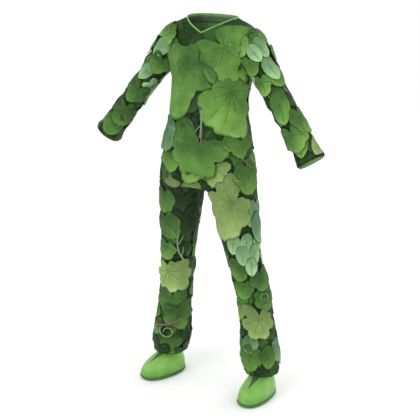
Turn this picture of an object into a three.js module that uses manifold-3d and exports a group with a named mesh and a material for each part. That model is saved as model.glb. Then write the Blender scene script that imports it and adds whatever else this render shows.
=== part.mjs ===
// A leaf-type ghillie suit in the shape that a wearer gives it: a pull-over V-neck smock, trousers with an
// elastic waist, and a pair of soft overshoes.
// Millimetres, +Z up, front towards -Y, the wearer's left towards +X. While it is being built the soles
// stand on z = 0. At the end everything is lowered so that the origin is the centre of the neck opening.
import * as THREE from 'three';
import { mergeVertices } from 'three/addons/utils/BufferGeometryUtils.js';
import Module from 'manifold-3d';

const wasm = await Module();
wasm.setup();

// ---- Driving dimensions ------------------------------------------------------------------------------
const CLOTH = 4;                 // thickness of base cloth with its backing
const GAP = 0.3;                 // space between two pieces that are sewn together
const FAR = 3000;                // longer than the garment, for cutting blocks
const CLEAR = 300;               // runs a cutting solid well past the piece that it cuts
const TIDY = 0.12;               // how far tiny facets left by a cut may be smoothed away

const NECK_TOP = 1455;           // side-neck points
const NECK_HALF = 96;            // half the width of the neck opening
const V_POINT = 1410;            // bottom of the V
const BINDING = 5;               // width of the piping round the neck
const FACING = 26;               // depth of the facing inside the neck

const SMOCK_HEM = 978;           // lower edge of the smock
const HEM_BAND = 24;             // depth of its turned-up hem
const WAISTBAND = [1022, 1062];  // lower and upper edge of the trousers' waistband
const CROTCH_CUT = 835;          // legs are separate cloth below this height
const GUSSET_HALF = 34;          // half the width of the crotch gusset
const GUSSET_TOP = 866;
const LEG_TOP = 985;             // the legs' tubes run up inside the seat to here
const ARMHOLE = 168;             // distance of each armhole seam from the centre
const UNDERARM = 1150;            // below the armholes, where the smock is whole from side to side
const BODY_HALF = 210;            // wider than the smock's hem and short of the hands

const SHOULDER = [149, -2, 1366];  // left shoulder pivot
const ARM_OUT = 36.5;              // degrees that the sleeves hang away from vertical
const ARM_FORWARD = 7;           // degrees that the sleeves hang forward
const SLEEVE_CUTS = { head: 112, upper: 190, elbow: 330, lower: 430, end: 472 };

const LEG_CUTS = { hip: 745, thigh: 565, knee: 425, shin: 190, hem: 92 };
const ELASTIC = 14;              // width of the elastic at cuffs and ankles
const ELASTIC_THICK = 1.6;
const ELASTIC_EASE = 0.8;        // space between an elastic and the cloth round it
const INNER_OVERRUN = 20;        // how far the hollow of a tube runs past its open end

const FOOT = [208, 22];          // where the left ankle stands
const TOE_OUT = { left: -4, right: 22 };  // degrees that each foot turns outward
const SOLE = 12;
const SHOE_TOP = 112;

// Sections of each tube, as rows of: place along the tube, centre across, centre in depth, half width,
// half depth. Places along the torso and legs are heights, and along a sleeve the distance from the pivot.
const TORSO = [
  [960, 0, -34, 177, 125],
  [1000, 0, -35, 170, 121],
  [1050, 0, -34, 160, 116],
  [1100, 0, -31, 147, 111],
  [1150, 0, -24, 141, 108],
  [1200, 0, -16, 143, 112],
  [1260, 0, -9, 153, 117],
  [1320, 0, -4, 163, 117],
  [1370, 0, -1, 172, 106],
  [1405, 0, 0, 170, 93],
  [1430, 0, -1, 145, 79],
  [1450, 0, -3, 106, 64],
  [1480, 0, -4, 84, 54],
];
const SLEEVE = [
  [-52, 0, 0, 20, 22],
  [-42, 0, 0, 40, 42],
  [-20, 0, 0, 54, 58],
  [20, 0, 0, 60, 66],
  [70, 0, 0, 56, 62],
  [130, 0, 0, 50, 54],
  [200, 0, 0, 47, 50],
  [270, 0, 0, 47, 49],
  [350, 0, 0, 47, 49],
  [430, 0, 0, 50, 51],
  [470, 0, 0, 56, 56],
  [510, 0, 0, 56, 56],
];
const LEG = [
  [1075, 60, -28, 82, 98],
  [1000, 75, -32, 80, 95],
  [955, 87, -34, 84, 103],
  [900, 95, -35, 87, 108],
  [860, 102, -36, 87, 104],
  [820, 109, -36, 84, 98],
  [760, 116, -35, 79, 90],
  [660, 129, -29, 71, 79],
  [560, 145, -16, 64, 69],
  [480, 159, 2, 67, 69],
  [400, 172, 12, 65, 67],
  [300, 185, 17, 68, 69],
  [220, 194, 18, 73, 74],
  [160, 200, 18, 78, 78],
  [120, 204, 18, 69, 70],
  [92, 207, 14, 58, 61],
  [80, 208, 14, 56, 59],
];
const SEAT = [
  [828, 0, -37, 90, 66],
  [860, 0, -37, 150, 96],
  [900, 0, -36, 179, 108],
  [950, 0, -35, 172, 113],
  [1000, 0, -35, 160, 111],
  [1050, 0, -34, 150, 106],
  [1090, 0, -30, 140, 101],
];
// A shoe's level outlines: height, centre across, centre in depth, half width, half length.
const SHOE = [
  [0, 0, -41, 49, 95],
  [14, 0, -42, 54, 100],
  [34, 0, -40, 55, 98],
  [56, 0, -33, 51, 88],
  [74, 0, -20, 46, 69],
  [90, 0, -5, 42, 49],
  [104, 0, -3, 40, 46],
  [130, 0, -2, 39, 45],
];
const TORSO_SIDES = 22;
const LIMB_SIDES = 12;
const STEP = 66;                 // spacing of sections along the body, sleeves and legs
const SHOE_STEP = 19;
const NEAR_END = 1;              // no section stands closer than this to a tube's end

// ---- Colours -----------------------------------------------------------------------------------------
const COLOURS = {
  cloth: [0x2f5a2a, 0.9],
  clothMid: [0x4f7a3a, 0.9],
  leaf: [0x6f9f45, 0.8],
  leafPale: [0x9db874, 0.8],
  leafSage: [0x7fa878, 0.8],
  piping: [0x86c05a, 0.7],
  facing: [0x5a8060, 0.9],
  elastic: [0x3b4a36, 0.9],
  shoe: [0x86c05a, 0.6],
  sole: [0x4f8a38, 0.8],
  gore: [0x4c7050, 0.8],
  twig: [0xa08070, 0.8],
};

const suit = new THREE.Group();
suit.name = 'ghillie_suit';

function addPiece(name, geometry, look) {
  const [color, roughness] = COLOURS[look];
  const material = new THREE.MeshStandardMaterial({ color, roughness, metalness: 0 });
  const mesh = new THREE.Mesh(geometry, material);
  mesh.name = name;
  suit.add(mesh);
}

// ---- Solids ------------------------------------------------------------------------------------------
function toSolid(geometry) {
  const bare = geometry.clone();
  bare.deleteAttribute('normal');
  bare.deleteAttribute('uv');
  const merged = mergeVertices(bare, 1e-4);
  const vertProperties = new Float32Array(merged.attributes.position.array);
  const triVerts = new Uint32Array(merged.index.array);
  return new wasm.Manifold(new wasm.Mesh({ numProp: 3, vertProperties, triVerts }));
}

function toGeometry(solid) {
  const mesh = solid.simplify(TIDY).getMesh();
  const geometry = new THREE.BufferGeometry();
  geometry.setAttribute('position', new THREE.BufferAttribute(new Float32Array(mesh.vertProperties), 3));
  geometry.setIndex(new THREE.BufferAttribute(new Uint32Array(mesh.triVerts), 1));
  return geometry;
}

// The largest separate body of a solid: a cut can leave a crumb beside it.
function largest(solid) {
  const bodies = solid.decompose();
  return bodies.reduce((best, body) => (Math.abs(body.volume()) > Math.abs(best.volume()) ? body : best));
}

function block(low, high) {
  const size = high.map((value, axis) => value - low[axis]);
  const middle = high.map((value, axis) => (value + low[axis]) / 2);
  return new THREE.BoxGeometry(...size).translate(...middle);
}

// Everything between two heights, held back by half a gap at each.
function slab(low, high, frame = new THREE.Matrix4()) {
  const geometry = block([-FAR, -FAR, low + GAP / 2], [FAR, FAR, high - GAP / 2]);
  return toSolid(geometry.applyMatrix4(frame));
}

function halfSpace(axis, sign, from) {
  const low = [-FAR, -FAR, -FAR];
  const high = [FAR, FAR, FAR];
  if (sign > 0) low[axis] = from + GAP / 2;
  else high[axis] = from - GAP / 2;
  return toSolid(block(low, high));
}

// ---- Tubes -------------------------------------------------------------------------------------------
// A smooth curve through the rows, read at one place along them.
function readRows(rows, at) {
  const ordered = rows[0][0] < rows[rows.length - 1][0] ? rows : [...rows].reverse();
  const last = ordered.length - 2;
  let i = ordered.findIndex((row, k) => k <= last && at <= ordered[k + 1][0]);
  if (i < 0) i = last;
  const near = ordered[i];
  const far = ordered[i + 1];
  const before = ordered[Math.max(i - 1, 0)];
  const after = ordered[Math.min(i + 2, ordered.length - 1)];
  const span = far[0] - near[0];
  const t = THREE.MathUtils.clamp((at - near[0]) / span, 0, 1);
  return near.slice(1).map((value, k) => {
    const column = k + 1;
    const next = far[column];
    const slopeNear = (next - before[column]) / (far[0] - before[0]) * span;
    const slopeFar = (after[column] - value) / (after[0] - near[0]) * span;
    const rise = 3 * t ** 2 - 2 * t ** 3;
    const level = (1 - rise) * value + rise * next;
    return level + (t ** 3 - 2 * t ** 2 + t) * slopeNear + (t ** 3 - t ** 2) * slopeFar;
  });
}

// One point of a tube's surface, moved out of it by a distance. Angle 0 is +X and 90 degrees is the back.
function onTube(tube, at, angle, out = 0) {
  const [across, depth, halfWidth, halfDepth] = readRows(tube.rows, at);
  const c = Math.cos(angle);
  const s = Math.sin(angle);
  const x = halfWidth * Math.sign(c) * Math.abs(c) ** tube.power;
  const y = halfDepth * Math.sign(s) * Math.abs(s) ** tube.power;
  const normal = new THREE.Vector2(x / halfWidth ** 2, y / halfDepth ** 2).normalize();
  const height = tube.down ? -at : at;
  const level = new THREE.Vector2(tube.side * across + x, depth + y).addScaledVector(normal, out);
  return new THREE.Vector3(level.x, level.y, height).applyMatrix4(tube.frame);
}

// A tube of cloth seen as a full solid, grown or shrunk by a distance, between two places along it.
// Its sections stand at whole steps, so that two solids of one tube have the same facets.
function tubeSolid(tube, out, from, to) {
  const places = [from];
  const first = tube.step * Math.ceil((from + NEAR_END) / tube.step);
  for (let at = first; at < to - NEAR_END; at += tube.step) places.push(at);
  places.push(to);
  const rings = places.length;
  const points = [];
  const index = [];
  for (const at of places) {
    for (let k = 0; k < tube.sides; k += 1) {
      points.push(onTube(tube, at, 2 * Math.PI * k / tube.sides, out));
    }
  }
  const flip = tube.down;
  const addFace = (a, b, c) => index.push(...(flip ? [a, c, b] : [a, b, c]));
  for (let i = 0; i + 1 < rings; i += 1) {
    for (let k = 0; k < tube.sides; k += 1) {
      const a = i * tube.sides + k;
      const b = i * tube.sides + (k + 1) % tube.sides;
      addFace(a, b, b + tube.sides);
      addFace(a, b + tube.sides, a + tube.sides);
    }
  }
  for (const ring of [0, rings - 1]) {
    const centre = points.length;
    const first = ring * tube.sides;
    const middle = new THREE.Vector3();
    for (let k = 0; k < tube.sides; k += 1) middle.addScaledVector(points[first + k], 1 / tube.sides);
    points.push(middle);
    for (let k = 0; k < tube.sides; k += 1) {
      const a = first + k;
      const b = first + (k + 1) % tube.sides;
      if (ring === 0) addFace(centre, b, a);
      else addFace(centre, a, b);
    }
  }
  const geometry = new THREE.BufferGeometry().setFromPoints(points);
  geometry.setIndex(index);
  return toSolid(geometry);
}

function sleeveFrame(side) {
  const frame = new THREE.Matrix4().makeTranslation(side * SHOULDER[0], SHOULDER[1], SHOULDER[2]);
  frame.multiply(new THREE.Matrix4().makeRotationY(-side * THREE.MathUtils.degToRad(ARM_OUT)));
  return frame.multiply(new THREE.Matrix4().makeRotationX(-THREE.MathUtils.degToRad(ARM_FORWARD)));
}

function shoeFrame(side) {
  const turn = side > 0 ? TOE_OUT.left : TOE_OUT.right;
  const frame = new THREE.Matrix4().makeTranslation(side * FOOT[0], FOOT[1], 0);
  return frame.multiply(new THREE.Matrix4().makeRotationZ(side * THREE.MathUtils.degToRad(turn)));
}

const flat = new THREE.Matrix4();
const torso = { rows: TORSO, sides: TORSO_SIDES, step: STEP, power: 0.86, side: 1, frame: flat };
const limb = { sides: LIMB_SIDES, step: STEP };
const sleeve = (side) => ({ ...limb, rows: SLEEVE, power: 1, side, frame: sleeveFrame(side), down: true });
const leg = (side) => ({ ...limb, rows: LEG, power: 0.95, side, frame: flat });
const shoe = (side) => ({ ...limb, rows: SHOE, step: SHOE_STEP, power: 0.86, side, frame: shoeFrame(side) });
const SIDES = { left: 1, right: -1 };

// ---- Neck --------------------------------------------------------------------------------------------
const V_DROP = 1.1;              // how far the V's point drops when its sides move out by one
const NECK_RANGE = [1254, 1480];  // the part of the body that the neck's pieces are cut from

// The space that the neck opening cuts away, grown by a distance.
function neckSpace(grow) {
  const outline = new THREE.Shape();
  const half = NECK_HALF + grow;
  outline.moveTo(0, V_POINT - V_DROP * grow);
  outline.lineTo(half, NECK_TOP - grow);
  outline.lineTo(half, NECK_TOP + CLEAR);
  outline.lineTo(-half, NECK_TOP + CLEAR);
  outline.lineTo(-half, NECK_TOP - grow);
  outline.closePath();
  const front = new THREE.ExtrudeGeometry(outline, { depth: CLEAR, bevelEnabled: false });
  front.rotateX(Math.PI / 2);
  const rear = block([-half, -NEAR_END, NECK_TOP - grow], [half, CLEAR, NECK_TOP + CLEAR]);
  const above = block([-FAR, -FAR, NECK_TOP + NEAR_END - grow], [FAR, FAR, NECK_TOP + CLEAR]);
  return toSolid(front).add(toSolid(rear)).add(toSolid(above));
}

// ---- Smock -------------------------------------------------------------------------------------------
const SLEEVE_FROM = SLEEVE[0][0];
const BINDING_THICK = 3;         // the piping stands in to this far behind the cloth
const BINDING_OUT = 1;           // and out to this far in front of it
const FACING_THICK = 1.7;

function smockSolid(out) {
  const longer = out < 0 ? INNER_OVERRUN : 0;
  const body = tubeSolid(torso, out, SMOCK_HEM - longer, NECK_RANGE[1]);
  const end = SLEEVE_CUTS.end + longer;
  return Object.values(SIDES).reduce(
    (whole, side) => whole.add(tubeSolid(sleeve(side), out, SLEEVE_FROM, end)), body);
}

const smockOuter = smockSolid(0);
const smockInner = smockSolid(-CLOTH);
const smockShell = smockOuter.subtract(smockInner).subtract(neckSpace(BINDING + GAP));
const within = (half) => halfSpace(0, -1, half).intersect(halfSpace(0, 1, -half));
const bodySpace = within(ARMHOLE).add(within(BODY_HALF).intersect(slab(-FAR, UNDERARM)));
const frontHalf = halfSpace(1, -1, 0);
const backHalf = halfSpace(1, 1, 0);

function makeSmockBody() {
  const body = largest(smockShell.intersect(bodySpace));
  const panels = body.intersect(slab(SMOCK_HEM + HEM_BAND, FAR));
  addPiece('smock_front', toGeometry(largest(panels.intersect(frontHalf))), 'clothMid');
  addPiece('smock_back', toGeometry(largest(panels.intersect(backHalf))), 'clothMid');
  addPiece('smock_hem_band', toGeometry(largest(body.intersect(slab(-FAR, SMOCK_HEM + HEM_BAND)))), 'cloth');
}

function makeNeck() {
  const edge = neckSpace(BINDING).subtract(neckSpace(0));
  const [low, high] = NECK_RANGE;
  const hollow = tubeSolid(torso, -CLOTH - BINDING_THICK, low, high);
  const ring = tubeSolid(torso, BINDING_OUT, low, high).subtract(hollow).intersect(edge);
  addPiece('neck_piping', toGeometry(largest(ring.intersect(frontHalf))), 'piping');
  addPiece('back_neck_band', toGeometry(largest(ring.intersect(backHalf))), 'piping');
  const against = -CLOTH - GAP;
  const within = tubeSolid(torso, against - FACING_THICK, low, high);
  const lining = tubeSolid(torso, against, low, high).subtract(within);
  const facing = lining.intersect(neckSpace(FACING).subtract(neckSpace(BINDING + GAP)));
  addPiece('neck_facing', toGeometry(largest(facing)), 'facing');
}

// The sleeves are cut across their own length, past the armhole.
function makeSleeve(name, side) {
  const frame = sleeveFrame(side);
  const outside = halfSpace(0, side, side * ARMHOLE);
  const cuts = SLEEVE_CUTS;
  const between = (near, far) => largest(smockShell.intersect(outside).intersect(slab(-far, -near, frame)));
  addPiece(`${name}_sleeve_head`, toGeometry(between(-CLEAR, cuts.head)), 'clothMid');
  addPiece(`${name}_upper_sleeve`, toGeometry(between(cuts.head, cuts.upper)), 'clothMid');
  addPiece(`${name}_elbow_section`, toGeometry(between(cuts.upper, cuts.elbow)), 'cloth');
  addPiece(`${name}_lower_sleeve`, toGeometry(between(cuts.elbow, cuts.lower)), 'clothMid');
  addPiece(`${name}_cuff`, toGeometry(between(cuts.lower, cuts.end + NEAR_END)), 'cloth');
  const middle = (cuts.lower + cuts.end) / 2;
  const elastic = elasticRing(sleeve(side), [SLEEVE_FROM, cuts.end + INNER_OVERRUN], middle);
  addPiece(`${name}_cuff_elastic`, toGeometry(elastic), 'elastic');
}

// A flat elastic that lies against the inside of a tube, round one place along it.
function elasticRing(tube, [from, to], middle) {
  const against = -CLOTH - ELASTIC_EASE;
  const inside = tubeSolid(tube, against - ELASTIC_THICK, from, to);
  const ring = tubeSolid(tube, against, from, to).subtract(inside);
  const places = [middle - ELASTIC / 2, middle + ELASTIC / 2];
  const [low, high] = tube.down ? [-places[1], -places[0]] : places;
  return largest(ring.intersect(slab(low, high, tube.frame)));
}

// ---- Trousers ----------------------------------------------------------------------------------------
const SEAT_BOTTOM = SEAT[0][0];
const seatTube = { ...torso, rows: SEAT };
function trouserSolid(out) {
  const longer = out < 0 ? INNER_OVERRUN : 0;
  const bottom = SEAT_BOTTOM - out;  // the hollow stops short, so that cloth closes the seat below
  const seat = tubeSolid(seatTube, out, bottom, WAISTBAND[1] + longer);
  return Object.values(SIDES).reduce(
    (whole, side) => whole.add(tubeSolid(leg(side), out, LEG_CUTS.hem - longer, LEG_TOP)), seat);
}

const trouserShell = trouserSolid(0).subtract(trouserSolid(-CLOTH));

function makeSeat() {
  const [bandLow, bandHigh] = WAISTBAND;
  const band = trouserShell.intersect(slab(bandLow, bandHigh + NEAR_END));
  addPiece('trouser_waistband', toGeometry(largest(band)), 'cloth');
  const against = -CLOTH - ELASTIC_EASE;
  const range = [SEAT_BOTTOM, bandHigh + INNER_OVERRUN];
  const inside = tubeSolid(seatTube, against - ELASTIC_THICK, ...range);
  const ring = tubeSolid(seatTube, against, ...range).subtract(inside);
  const elastic = ring.intersect(slab(bandLow + ELASTIC_EASE, bandHigh - ELASTIC_EASE));
  addPiece('waist_elastic', toGeometry(largest(elastic)), 'elastic');
  const middle = halfSpace(0, -1, GUSSET_HALF).intersect(halfSpace(0, 1, -GUSSET_HALF));
  const gusset = trouserShell.intersect(middle).intersect(slab(LEG_CUTS.hip, GUSSET_TOP));
  const room = toSolid(block([-GUSSET_HALF, -FAR, -FAR], [GUSSET_HALF, FAR, GUSSET_TOP]));
  const seat = trouserShell.intersect(slab(CROTCH_CUT, bandLow)).subtract(room);
  addPiece('seat_front', toGeometry(largest(seat.intersect(frontHalf))), 'cloth');
  addPiece('seat_back', toGeometry(largest(seat.intersect(backHalf))), 'cloth');
  addPiece('crotch_gusset', toGeometry(largest(gusset)), 'cloth');
}

function makeLeg(name, side) {
  const cuts = LEG_CUTS;
  const own = halfSpace(0, side, 0);
  const outside = halfSpace(0, side, side * GUSSET_HALF);
  const between = (low, high) => trouserShell.intersect(own).intersect(slab(low, high));
  const hip = between(cuts.hip, CROTCH_CUT).intersect(outside);
  addPiece(`${name}_hip_section`, toGeometry(largest(hip)), 'cloth');
  addPiece(`${name}_thigh`, toGeometry(largest(between(cuts.thigh, cuts.hip))), 'clothMid');
  addPiece(`${name}_knee_section`, toGeometry(largest(between(cuts.knee, cuts.thigh))), 'cloth');
  addPiece(`${name}_shin`, toGeometry(largest(between(cuts.shin, cuts.knee))), 'clothMid');
  addPiece(`${name}_ankle_gather`, toGeometry(largest(between(-FAR, cuts.shin))), 'cloth');
  const elastic = elasticRing(leg(side), [cuts.hem - INNER_OVERRUN, LEG_TOP], cuts.hem + ELASTIC);
  addPiece(`${name}_ankle_elastic`, toGeometry(elastic), 'elastic');
}

// ---- Overshoes ---------------------------------------------------------------------------------------
const RIM = [3, 17];             // lower and upper edge of the rim round the sole
const RIM_THICK = 2;
const INSOLE = 4;
const GORE_HALF = 13;            // half the width of the instep gore at its top
const GORE_TOE = -88;            // where its point lies, forward of the ankle
const GORE_EASE = 0.04;          // how much larger its opening is, as a share of its own size
const RIM_GAP = 0.5;             // space between the rim and the shoe
const HOLLOW_FROM = -10;         // the hollow of a shoe starts below its sole

function makeShoe(name, side) {
  const tube = shoe(side);
  const frame = shoeFrame(side);
  const outer = tubeSolid(tube, 0, 0, SHOE_TOP);
  const inner = tubeSolid(tube, -CLOTH, HOLLOW_FROM, SHOE_TOP + INNER_OVERRUN);
  const upper = outer.subtract(inner).intersect(slab(SOLE, FAR));
  const wedge = new THREE.Shape();
  wedge.moveTo(0, -GORE_TOE);
  wedge.lineTo(GORE_HALF, 0);
  wedge.lineTo(-GORE_HALF, 0);
  wedge.closePath();
  const wedgeSolid = (grow) => {
    const cut = new THREE.ExtrudeGeometry(wedge, { depth: CLEAR, bevelEnabled: false });
    cut.rotateX(Math.PI);
    cut.scale(1 + grow, 1 + grow, 1);
    cut.translate(0, 0, CLEAR);
    return toSolid(cut.applyMatrix4(frame));
  };
  addPiece(`${name}_shoe_upper`, toGeometry(largest(upper.subtract(wedgeSolid(GORE_EASE)))), 'shoe');
  addPiece(`${name}_instep_gore`, toGeometry(largest(upper.intersect(wedgeSolid(0)))), 'gore');
  addPiece(`${name}_shoe_sole`, toGeometry(outer.intersect(slab(-FAR, SOLE))), 'sole');
  const footSpace = tubeSolid(tube, -CLOTH - GAP, HOLLOW_FROM, SHOE_TOP + INNER_OVERRUN);
  addPiece(`${name}_insole`, toGeometry(footSpace.intersect(slab(SOLE, SOLE + INSOLE))), 'facing');
  const [rimLow, rimHigh] = RIM;
  const within = tubeSolid(tube, RIM_GAP, rimLow - SOLE, rimHigh + SOLE);
  const rim = tubeSolid(tube, RIM_THICK + RIM_GAP, rimLow, rimHigh).subtract(within);
  addPiece(`${name}_shoe_rim`, toGeometry(rim), 'sole');
}

// ---- Leaf flaps --------------------------------------------------------------------------------------
// Each flap is sewn on at its stem and lies along the cloth. Angle 0 is +X, and -90 degrees is the front.
const LEAF_OUT = 3.2;            // space under a flap
const LEAF_THICK = 1.4;
const LAYER = 2.9;               // how much further out a flap lies for each flap under it
const LEAF_POINTS = 18;
const LEAF_RINGS = [0.4, 0.75, 1];
const SCALLOP = 0.1;             // depth of the lobes, as a share of the leaf's size
const NOTCH = 0.32;              // depth and half width in radians of the notch at the stem
const NOTCH_HALF = 0.35;
const NARROW = 0.62;             // width of a plain leaf as a share of its length
// Each leaf hangs from a place on a tube, chosen in steps of 20 mm and 10 degrees (-90 is the front).
const LEAVES = {
  chest_leaf_left: { on: 'torso', at: 1360, angle: -60, size: 66, lobes: 5, look: 'leaf' },
  chest_leaf_right: { on: 'torso', at: 1340, angle: -120, size: 52, lobes: 3, look: 'leaf' },
  breast_leaf: { on: 'torso', at: 1240, angle: -100, size: 88, lobes: 3, look: 'leaf', layer: 1 },
  belly_leaf: { on: 'torso', at: 1160, angle: -50, size: 82, lobes: 5, look: 'leaf' },
  hip_leaf: { on: 'torso', at: 1020, angle: -90, size: 70, lobes: 5, look: 'leaf' },
  side_leaf: { on: 'torso', at: 1040, angle: -20, size: 44, lobes: 3, look: 'leaf' },
  thigh_leaf: { on: 'left_leg', at: 780, angle: -80, size: 74, lobes: 5, look: 'leafPale' },
  knee_leaf: { on: 'right_leg', at: 460, angle: -70, size: 58, lobes: 5, look: 'leafPale' },
  shin_leaf: { on: 'left_leg', at: 340, angle: -60, size: 58, lobes: 5, look: 'leafPale' },
  ankle_leaf: { on: 'left_leg', at: 220, angle: -40, size: 36, lobes: 1, look: 'leaf' },
  shoulder_leaf: { on: 'left_sleeve', at: 40, angle: -60, size: 40, lobes: 1, look: 'leafSage' },
  left_forearm_leaf: { on: 'left_sleeve', at: 380, angle: -80, size: 42, lobes: 3, look: 'leaf' },
  right_forearm_leaf: { on: 'right_sleeve', at: 380, angle: -100, size: 42, lobes: 3, look: 'leaf' },
};

function leafTube(name) {
  if (name === 'torso') return torso;
  const [hand, limb] = name.split('_');
  return limb === 'leg' ? leg(SIDES[hand]) : sleeve(SIDES[hand]);
}

// How far the edge of a leaf is from its middle, with the stem's notch at the top.
function leafReach(turn, lobes) {
  const scallop = lobes > 1 ? SCALLOP * Math.cos(lobes * turn) : 0;
  const fromStem = Math.abs(Math.atan2(Math.sin(turn - Math.PI), Math.cos(turn - Math.PI)));
  const notch = lobes > 1 ? NOTCH * Math.exp(-((fromStem / NOTCH_HALF) ** 2)) : 0;
  const narrow = lobes > 1 ? 1 : 1 / Math.hypot(Math.cos(turn), Math.sin(turn) / NARROW);
  return narrow * (1 - SCALLOP + scallop - notch);
}

function makeLeaf(name, { on, at, angle, size, lobes, look, layer = 0 }) {
  const under = LEAF_OUT + layer * LAYER;
  const tube = leafTube(on);
  const [, , halfWidth, halfDepth] = readRows(tube.rows, at);
  const radius = (halfWidth + halfDepth) / 2;
  const points = [];
  const place = (reach, turn, out) => {
    const down = reach * Math.cos(turn);
    const round = reach * Math.sin(turn) / radius;
    const along = tube.down ? at + down : at - down;
    return onTube(tube, along, THREE.MathUtils.degToRad(angle) + round, out);
  };
  for (const out of [under + LEAF_THICK, under]) {
    points.push(place(0, 0, out));
    for (const share of LEAF_RINGS) {
      for (let k = 0; k < LEAF_POINTS; k += 1) {
        const turn = 2 * Math.PI * k / LEAF_POINTS;
        points.push(place(size * share * leafReach(turn, lobes), turn, out));
      }
    }
  }
  const index = [];
  const sheet = 1 + LEAF_RINGS.length * LEAF_POINTS;
  const spot = (side, ring, k) => side * sheet + 1 + ring * LEAF_POINTS + k % LEAF_POINTS;
  const addFace = (side, a, b, c) => index.push(...(side ? [a, c, b] : [a, b, c]));
  for (let side = 0; side < 2; side += 1) {
    for (let k = 0; k < LEAF_POINTS; k += 1) {
      addFace(side, side * sheet, spot(side, 0, k), spot(side, 0, k + 1));
      for (let ring = 0; ring + 1 < LEAF_RINGS.length; ring += 1) {
        addFace(side, spot(side, ring, k), spot(side, ring + 1, k), spot(side, ring + 1, k + 1));
        addFace(side, spot(side, ring, k), spot(side, ring + 1, k + 1), spot(side, ring, k + 1));
      }
    }
  }
  const rim = LEAF_RINGS.length - 1;
  for (let k = 0; k < LEAF_POINTS; k += 1) {
    index.push(spot(0, rim, k), spot(1, rim, k), spot(1, rim, k + 1));
    index.push(spot(0, rim, k), spot(1, rim, k + 1), spot(0, rim, k + 1));
  }
  const geometry = new THREE.BufferGeometry().setFromPoints(points);
  geometry.setIndex(index);
  addPiece(name, toGeometry(toSolid(geometry)), look);
}

makeSmockBody();
makeNeck();
makeSeat();
for (const [name, side] of Object.entries(SIDES)) {
  makeSleeve(name, side);
  makeLeg(name, side);
  makeShoe(name, side);
}
for (const [name, leaf] of Object.entries(LEAVES)) makeLeaf(name, leaf);

suit.position.z = -NECK_TOP;
suit.updateMatrixWorld(true);

export default suit;
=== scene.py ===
"""The visual model of a leaf-type ghillie suit: a V-neck smock, trousers and overshoes, held open as worn.

Metres, +Z up, front towards -Y, the wearer's left towards +X. The origin is the centre of the neck opening.
Tables of sections and places are in millimetres, and their heights are above the soles.
"""

import math
import random

import bmesh
import bpy
import numpy as np
from mathutils import Matrix, Vector, noise
from mathutils.bvhtree import BVHTree


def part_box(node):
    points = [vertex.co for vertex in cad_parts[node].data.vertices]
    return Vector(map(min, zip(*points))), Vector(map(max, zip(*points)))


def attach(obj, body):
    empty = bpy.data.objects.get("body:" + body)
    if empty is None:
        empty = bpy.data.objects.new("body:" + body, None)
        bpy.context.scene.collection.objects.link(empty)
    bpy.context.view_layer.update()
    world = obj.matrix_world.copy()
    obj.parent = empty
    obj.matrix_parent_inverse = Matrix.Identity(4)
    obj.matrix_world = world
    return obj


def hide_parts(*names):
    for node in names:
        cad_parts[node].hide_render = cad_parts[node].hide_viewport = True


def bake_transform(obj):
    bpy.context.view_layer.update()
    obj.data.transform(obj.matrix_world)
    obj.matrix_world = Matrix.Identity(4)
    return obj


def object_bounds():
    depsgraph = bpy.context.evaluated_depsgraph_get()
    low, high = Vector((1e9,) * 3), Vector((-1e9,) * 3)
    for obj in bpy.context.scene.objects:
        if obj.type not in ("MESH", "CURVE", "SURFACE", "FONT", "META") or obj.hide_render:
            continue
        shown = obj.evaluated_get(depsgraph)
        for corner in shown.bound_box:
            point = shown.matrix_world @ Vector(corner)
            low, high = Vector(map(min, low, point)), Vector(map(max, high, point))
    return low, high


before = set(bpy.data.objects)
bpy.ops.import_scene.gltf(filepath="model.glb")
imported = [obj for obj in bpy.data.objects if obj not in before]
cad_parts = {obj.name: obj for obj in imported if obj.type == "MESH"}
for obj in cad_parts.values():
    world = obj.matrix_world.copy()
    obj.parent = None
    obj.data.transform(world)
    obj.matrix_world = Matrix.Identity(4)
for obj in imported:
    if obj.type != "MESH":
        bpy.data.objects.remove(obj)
cad_low, cad_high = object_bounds()
scene = bpy.context.scene

# ---- Sizes of the suit ------------------------------------------------------------------------------
MM = 0.001
NECK_TOP = 1455                 # side-neck points
NECK_HALF = 92                  # half the width of the neck opening
V_POINT = 1410                  # bottom of the V
FACING = 30                     # depth of the facing inside the neck
SMOCK_HEM = 978
HEM_BAND = 24
WAIST_TOP = 1062
SEAT_SPLIT = 840                # the legs are cloth of their own below this
LEG_SPLIT = 600                 # where the thigh's cloth meets the shin's
ANKLE_SPLIT = 190
LEG_HEM = 102
ARMHOLE = 168
UNDERARM = 1150                 # below the armholes, where the smock is whole from side to side
BODY_HALF = 210                 # wider than the smock's hem and short of the hands
SHOULDER = (149, -2, 1366)      # left shoulder pivot
ARM_OUT = math.radians(36.5)
ARM_FORWARD = math.radians(7)
SLEEVE_SPLIT = 207              # where the upper sleeve meets the lower one, from the pivot
CUFF = 430
SLEEVE_END = 472
FOOT = (208, 22)
TOE_OUT = {1: math.radians(-4), -1: math.radians(22)}
SOLE = 12
SHOE_TOP = 112
CLOTH = 2.6                     # thickness of the base cloth
FACING_IN = 4.6                 # how far inside the cloth the facing lies
SIDES = {"left": 1, "right": -1}

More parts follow.
